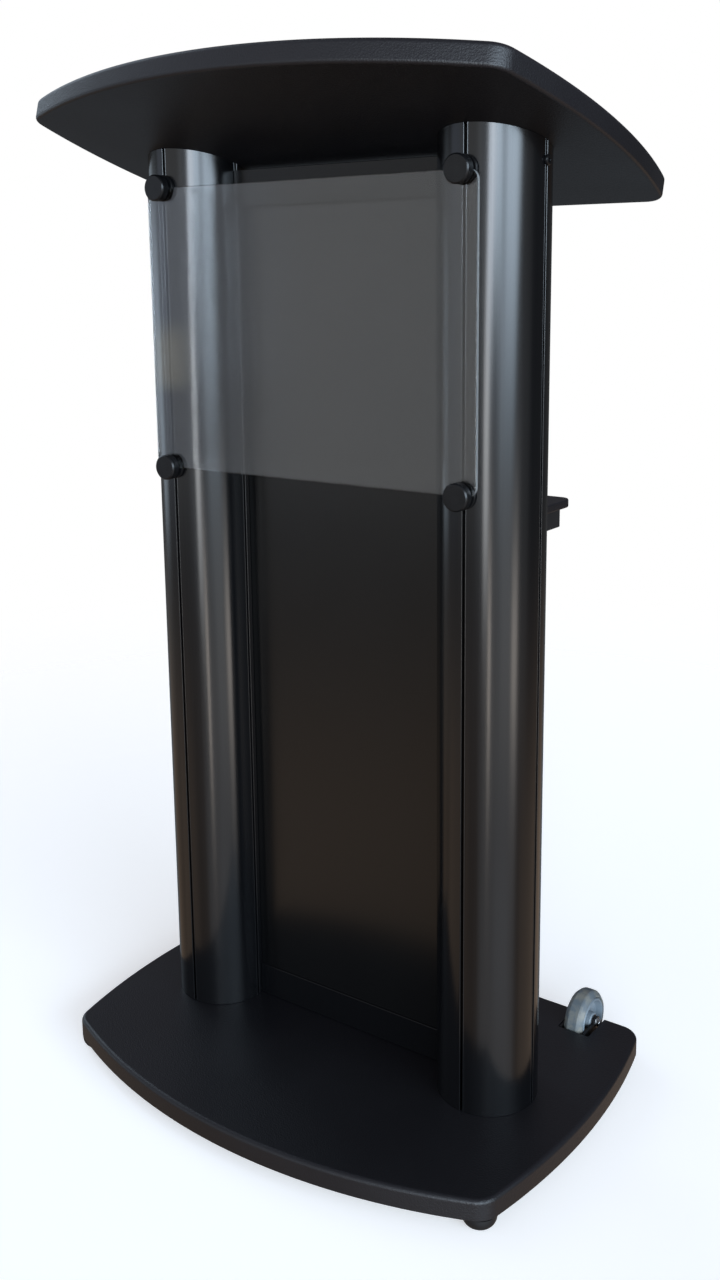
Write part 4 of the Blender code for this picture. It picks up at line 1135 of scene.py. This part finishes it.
WALLS = [
    # upper part of the tall windows, in front and to the right
    lamp((15.8, 28.0), (-2.0, 21.0), 13.8, COOL, (2.0, 2.5), (4.0, 5.0), (0.4, 0.6)),
    lamp((28.0, 43.5), (0.2, 23.0), 11.6, BLUE, (2.5, 2.5), (4.0, 6.0), (0.6, 0.0)),
    lamp((43.5, 79.5), (-3.0, 28.0), 6.2, BLUE, (2.5, 2.5), (9.0, 6.0), (0.0, 0.8)),
    lamp((53.0, 74.0), (-2.0, 29.0), 4.4, BLUE, (2.5, 4.0), (8.0, 6.0), (0.0, 0.6)),
    # lower part of the first window, narrowing to a streak
    lamp((12.0, 22.0), (-12.6, -2.0), 8.6, NEUTRAL, (1.5, 2.5), (3.2, 4.0)),
    lamp((38.0, 52.0), (-9.0, -1.0), 1.1, COOL, (3.0, 3.0), (3.0, 3.0)),
    lamp((25.0, 87.0), (-21.0, -9.0), 0.72, NEUTRAL, (4.0, 4.0), (3.0, 3.0)),
    lamp((50.0, 70.0), (-20.0, -9.0), 0.45, NEUTRAL, (3.0, 3.0), (2.0, 3.0)),
    # glare on the floor
    lamp((24.2, 28.2), (-21.0, -13.0), 8.5, WARM, (1.4, 1.6), (2.5, 2.5)),
    lamp((73.5, 86.5), (-19.5, -13.0), 3.8, WARM, (3.0, 3.0), (2.0, 2.0)),
    # the floor towards the windows
    lamp((8.0, 88.0), (-60.0, -20.0), 0.42, COOL, (8.0, 8.0), (10.0, 3.0)),
    lamp((40.0, 74.0), (-31.5, -25.5), 0.35, COOL, (8.0, 6.0), (2.0, 2.0)),
    # narrow window far to the left
    lamp((-93.0, -72.0), (-10.5, 2.5), 1.5, BLUE, (4.0, 4.0), (1.2, 2.5)),
    lamp((-115.0, -93.0), (-7.0, 15.0), 0.55, BLUE, (6.0, 4.0), (1.5, 4.0)),
    lamp((-115.0, -96.0), (12.0, 46.0), 1.9, BLUE, (4.0, 4.0), (4.0, 6.0)),
    lamp((-96.0, -76.0), (22.0, 50.0), 1.1, BLUE, (4.0, 6.0), (4.0, 8.0)),
    # pale wall in front and to the left
    lamp((-66.0, -41.0), (-4.6, 30.0), 0.56, SKY, (5.0, 4.0), (1.2, 10.0)),
    lamp((-66.0, -41.0), (-10.0, -4.6), 0.36, SKY, (5.0, 4.0), (0.8, 1.2)),
    lamp((-46.0, -43.0), (-4.8, -2.4), 0.45, AMBER, (0.8, 0.8), (0.5, 0.7)),
    lamp((-41.0, 6.0), (-10.0, 30.0), 0.56, NEUTRAL, (4.0, 5.0), (0.8, 10.0)),
    lamp((-66.0, -20.0), (-29.5, -19.0), 0.16, BROWN, (5.0, 8.0), (0.5, 3.0)),
    lamp((-3.0, 16.0), (-11.0, 30.0), 0.50, COOL, (4.0, 2.0), (3.0, 8.0)),
    # wall at the right edge of the windows, then the dim room behind
    lamp((79.0, 110.0), (-20.0, 45.0), 0.26, NEUTRAL, (3.0, 8.0), (4.0, 8.0)),
    lamp((-180.0, 180.0), (-16.0, 200.0), 0.07, NEUTRAL, (1.0, 1.0), (4.0, 5.0)),
    lamp((-110.0, 90.0), (-20.0, 200.0), 0.10, NEUTRAL, (10.0, 10.0), (4.0, 5.0)),
    lamp((-180.0, 180.0), (18.0, 70.0), 0.12, VIOLET, (1.0, 1.0), (6.0, 8.0)),
    # floor all round, browner to the right and cooler behind
    lamp((-108.0, 180.0), (-200.0, -16.0), 0.23, BROWN, (6.0, 1.0), (5.0, 6.0)),
    lamp((100.0, 180.0), (-45.0, -22.0), 0.15, BROWN, (8.0, 1.0), (5.0, 4.0)),
    lamp((-180.0, -108.0), (-200.0, -16.0), 0.21, COOL, (1.0, 6.0), (5.0, 6.0)),
]


def make_world():
    """Plain white backdrop to the camera; a soft studio of pale walls and tall windows."""
    world = bpy.data.worlds.new("studio")
    bpy.context.scene.world = world
    world.use_nodes = True
    t = Tree(world.node_tree)
    t.tree.nodes.clear()
    parts = t.add("ShaderNodeSeparateXYZ")
    t.wire(t.add("ShaderNodeTexCoord").outputs["Generated"], parts.inputs[0])
    degrees = 180.0 / math.pi
    away = t.math("MULTIPLY", parts.outputs["Y"], -1.0)
    turn = t.math("MULTIPLY", t.math("ARCTAN2", parts.outputs["X"], away), degrees)
    rise = t.math("MULTIPLY", t.math("ARCSINE", parts.outputs["Z"], 0.0), degrees)
    total = None
    for turns, rises, strength, color, soft_turn, soft_rise, lean in WALLS:
        amount = strength
        for k, rising in enumerate((True, False)):
            value = turn
            if lean[k]:
                value = t.math("SUBTRACT", turn, t.math("MULTIPLY", rise, lean[k]))
            if abs(turns[k]) < WHOLE_TURN:
                amount = t.math(
                    "MULTIPLY", t.smooth_step(value, turns[k], soft_turn[k], rising), amount)
            if abs(rises[k]) < WHOLE_TURN:
                amount = t.math(
                    "MULTIPLY", t.smooth_step(rise, rises[k], soft_rise[k], rising), amount)
        light = t.vector("MULTIPLY", color, amount)
        total = light if total is None else t.vector("ADD", total, light)
    seen = t.add("ShaderNodeBackground")
    seen.inputs["Color"].default_value = (1.0, 1.0, 1.0, 1.0)
    lit = t.add("ShaderNodeBackground")
    t.wire(total, lit.inputs["Color"])
    mix = t.mix_shaders(t.camera_ray(), lit.outputs[0], seen.outputs[0])
    t.wire(mix, t.add("ShaderNodeOutputWorld").inputs["Surface"])


FLOOR_RADIUS = 2.6
FLOOR_DROP = 0.4 * MM
FADE_START = 0.6
FADE_END = 2.4


def make_floor():
    """Pale floor that fades into the white backdrop away from the lectern."""
    bm = bmesh.new()
    bmesh.ops.create_circle(bm, cap_ends=True, segments=96, radius=FLOOR_RADIUS)
    item = from_bmesh(bm, "studio_floor")
    item.location.z = -FLOOR_DROP
    item.visible_glossy = False
    material = bpy.data.materials.new("pale_floor")
    material.use_nodes = True
    t = Tree(material.node_tree)
    t.tree.nodes.clear()
    length = t.add("ShaderNodeVectorMath", operation="LENGTH")
    t.wire(t.add("ShaderNodeTexCoord").outputs["Object"], length.inputs[0])
    pale = t.add("ShaderNodeBsdfDiffuse")
    pale.inputs["Color"].default_value = (0.80, 0.80, 0.80, 1.0)
    glow = t.add("ShaderNodeEmission")
    glow.inputs["Strength"].default_value = 0.45
    lift = t.add("ShaderNodeAddShader")
    t.wire(pale.outputs[0], lift.inputs[0])
    t.wire(glow.outputs[0], lift.inputs[1])
    dull = t.add("ShaderNodeBsdfDiffuse")
    dull.inputs["Color"].default_value = (0.30, 0.26, 0.22, 1.0)
    kind = t.mix_shaders(t.camera_ray(), dull.outputs[0], lift.outputs[0])
    fade = t.add("ShaderNodeMapRange", interpolation_type="SMOOTHSTEP")
    fade.inputs["From Min"].default_value = FADE_START
    fade.inputs["From Max"].default_value = FADE_END
    t.wire(length.outputs["Value"], fade.inputs["Value"])
    clear = t.add("ShaderNodeBsdfTransparent")
    mix = t.mix_shaders(fade.outputs["Result"], kind, clear.outputs[0])
    t.wire(mix, t.add("ShaderNodeOutputMaterial").inputs["Surface"])
    item.data.materials.append(material)


def make_camera():
    """Camera a little below the top board, to the front right, looking slightly down."""
    turn = math.radians(36.10)
    pitch = math.radians(11.15)
    roll = math.radians(-0.74)
    ahead = Vector((
        -math.sin(turn) * math.cos(pitch), math.cos(turn) * math.cos(pitch), -math.sin(pitch)))
    level = Vector((math.cos(turn), math.sin(turn), 0.0))
    upright = level.cross(ahead)
    right = math.cos(roll) * level + math.sin(roll) * upright
    up = math.cos(roll) * upright - math.sin(roll) * level
    place = Vector((0.8353, COLUMN_Y - 1.1317, 0.9175))
    data = bpy.data.cameras.new("camera")
    camera = link(data, "camera")
    camera.matrix_world = Matrix((
        (right.x, up.x, -ahead.x, place.x), (right.y, up.y, -ahead.y, place.y),
        (right.z, up.z, -ahead.z, place.z), (0.0, 0.0, 0.0, 1.0)))
    data.sensor_fit = "VERTICAL"
    data.sensor_height = 36.0
    data.lens = 36.905
    data.shift_x = 0.0100
    data.shift_y = -0.0866
    data.clip_start = 0.01
    data.dof.use_dof = False
    bpy.context.scene.camera = camera


bpy.context.scene.view_settings.view_transform = "Standard"
make_camera()
make_world()
make_floor()
dress_cad_nodes()
make_base_board()
make_top_board()
make_shelf()
make_columns()
make_rails_and_panel()
make_front_plate()
make_standoffs()
make_screws()
make_feet()
make_wheels()
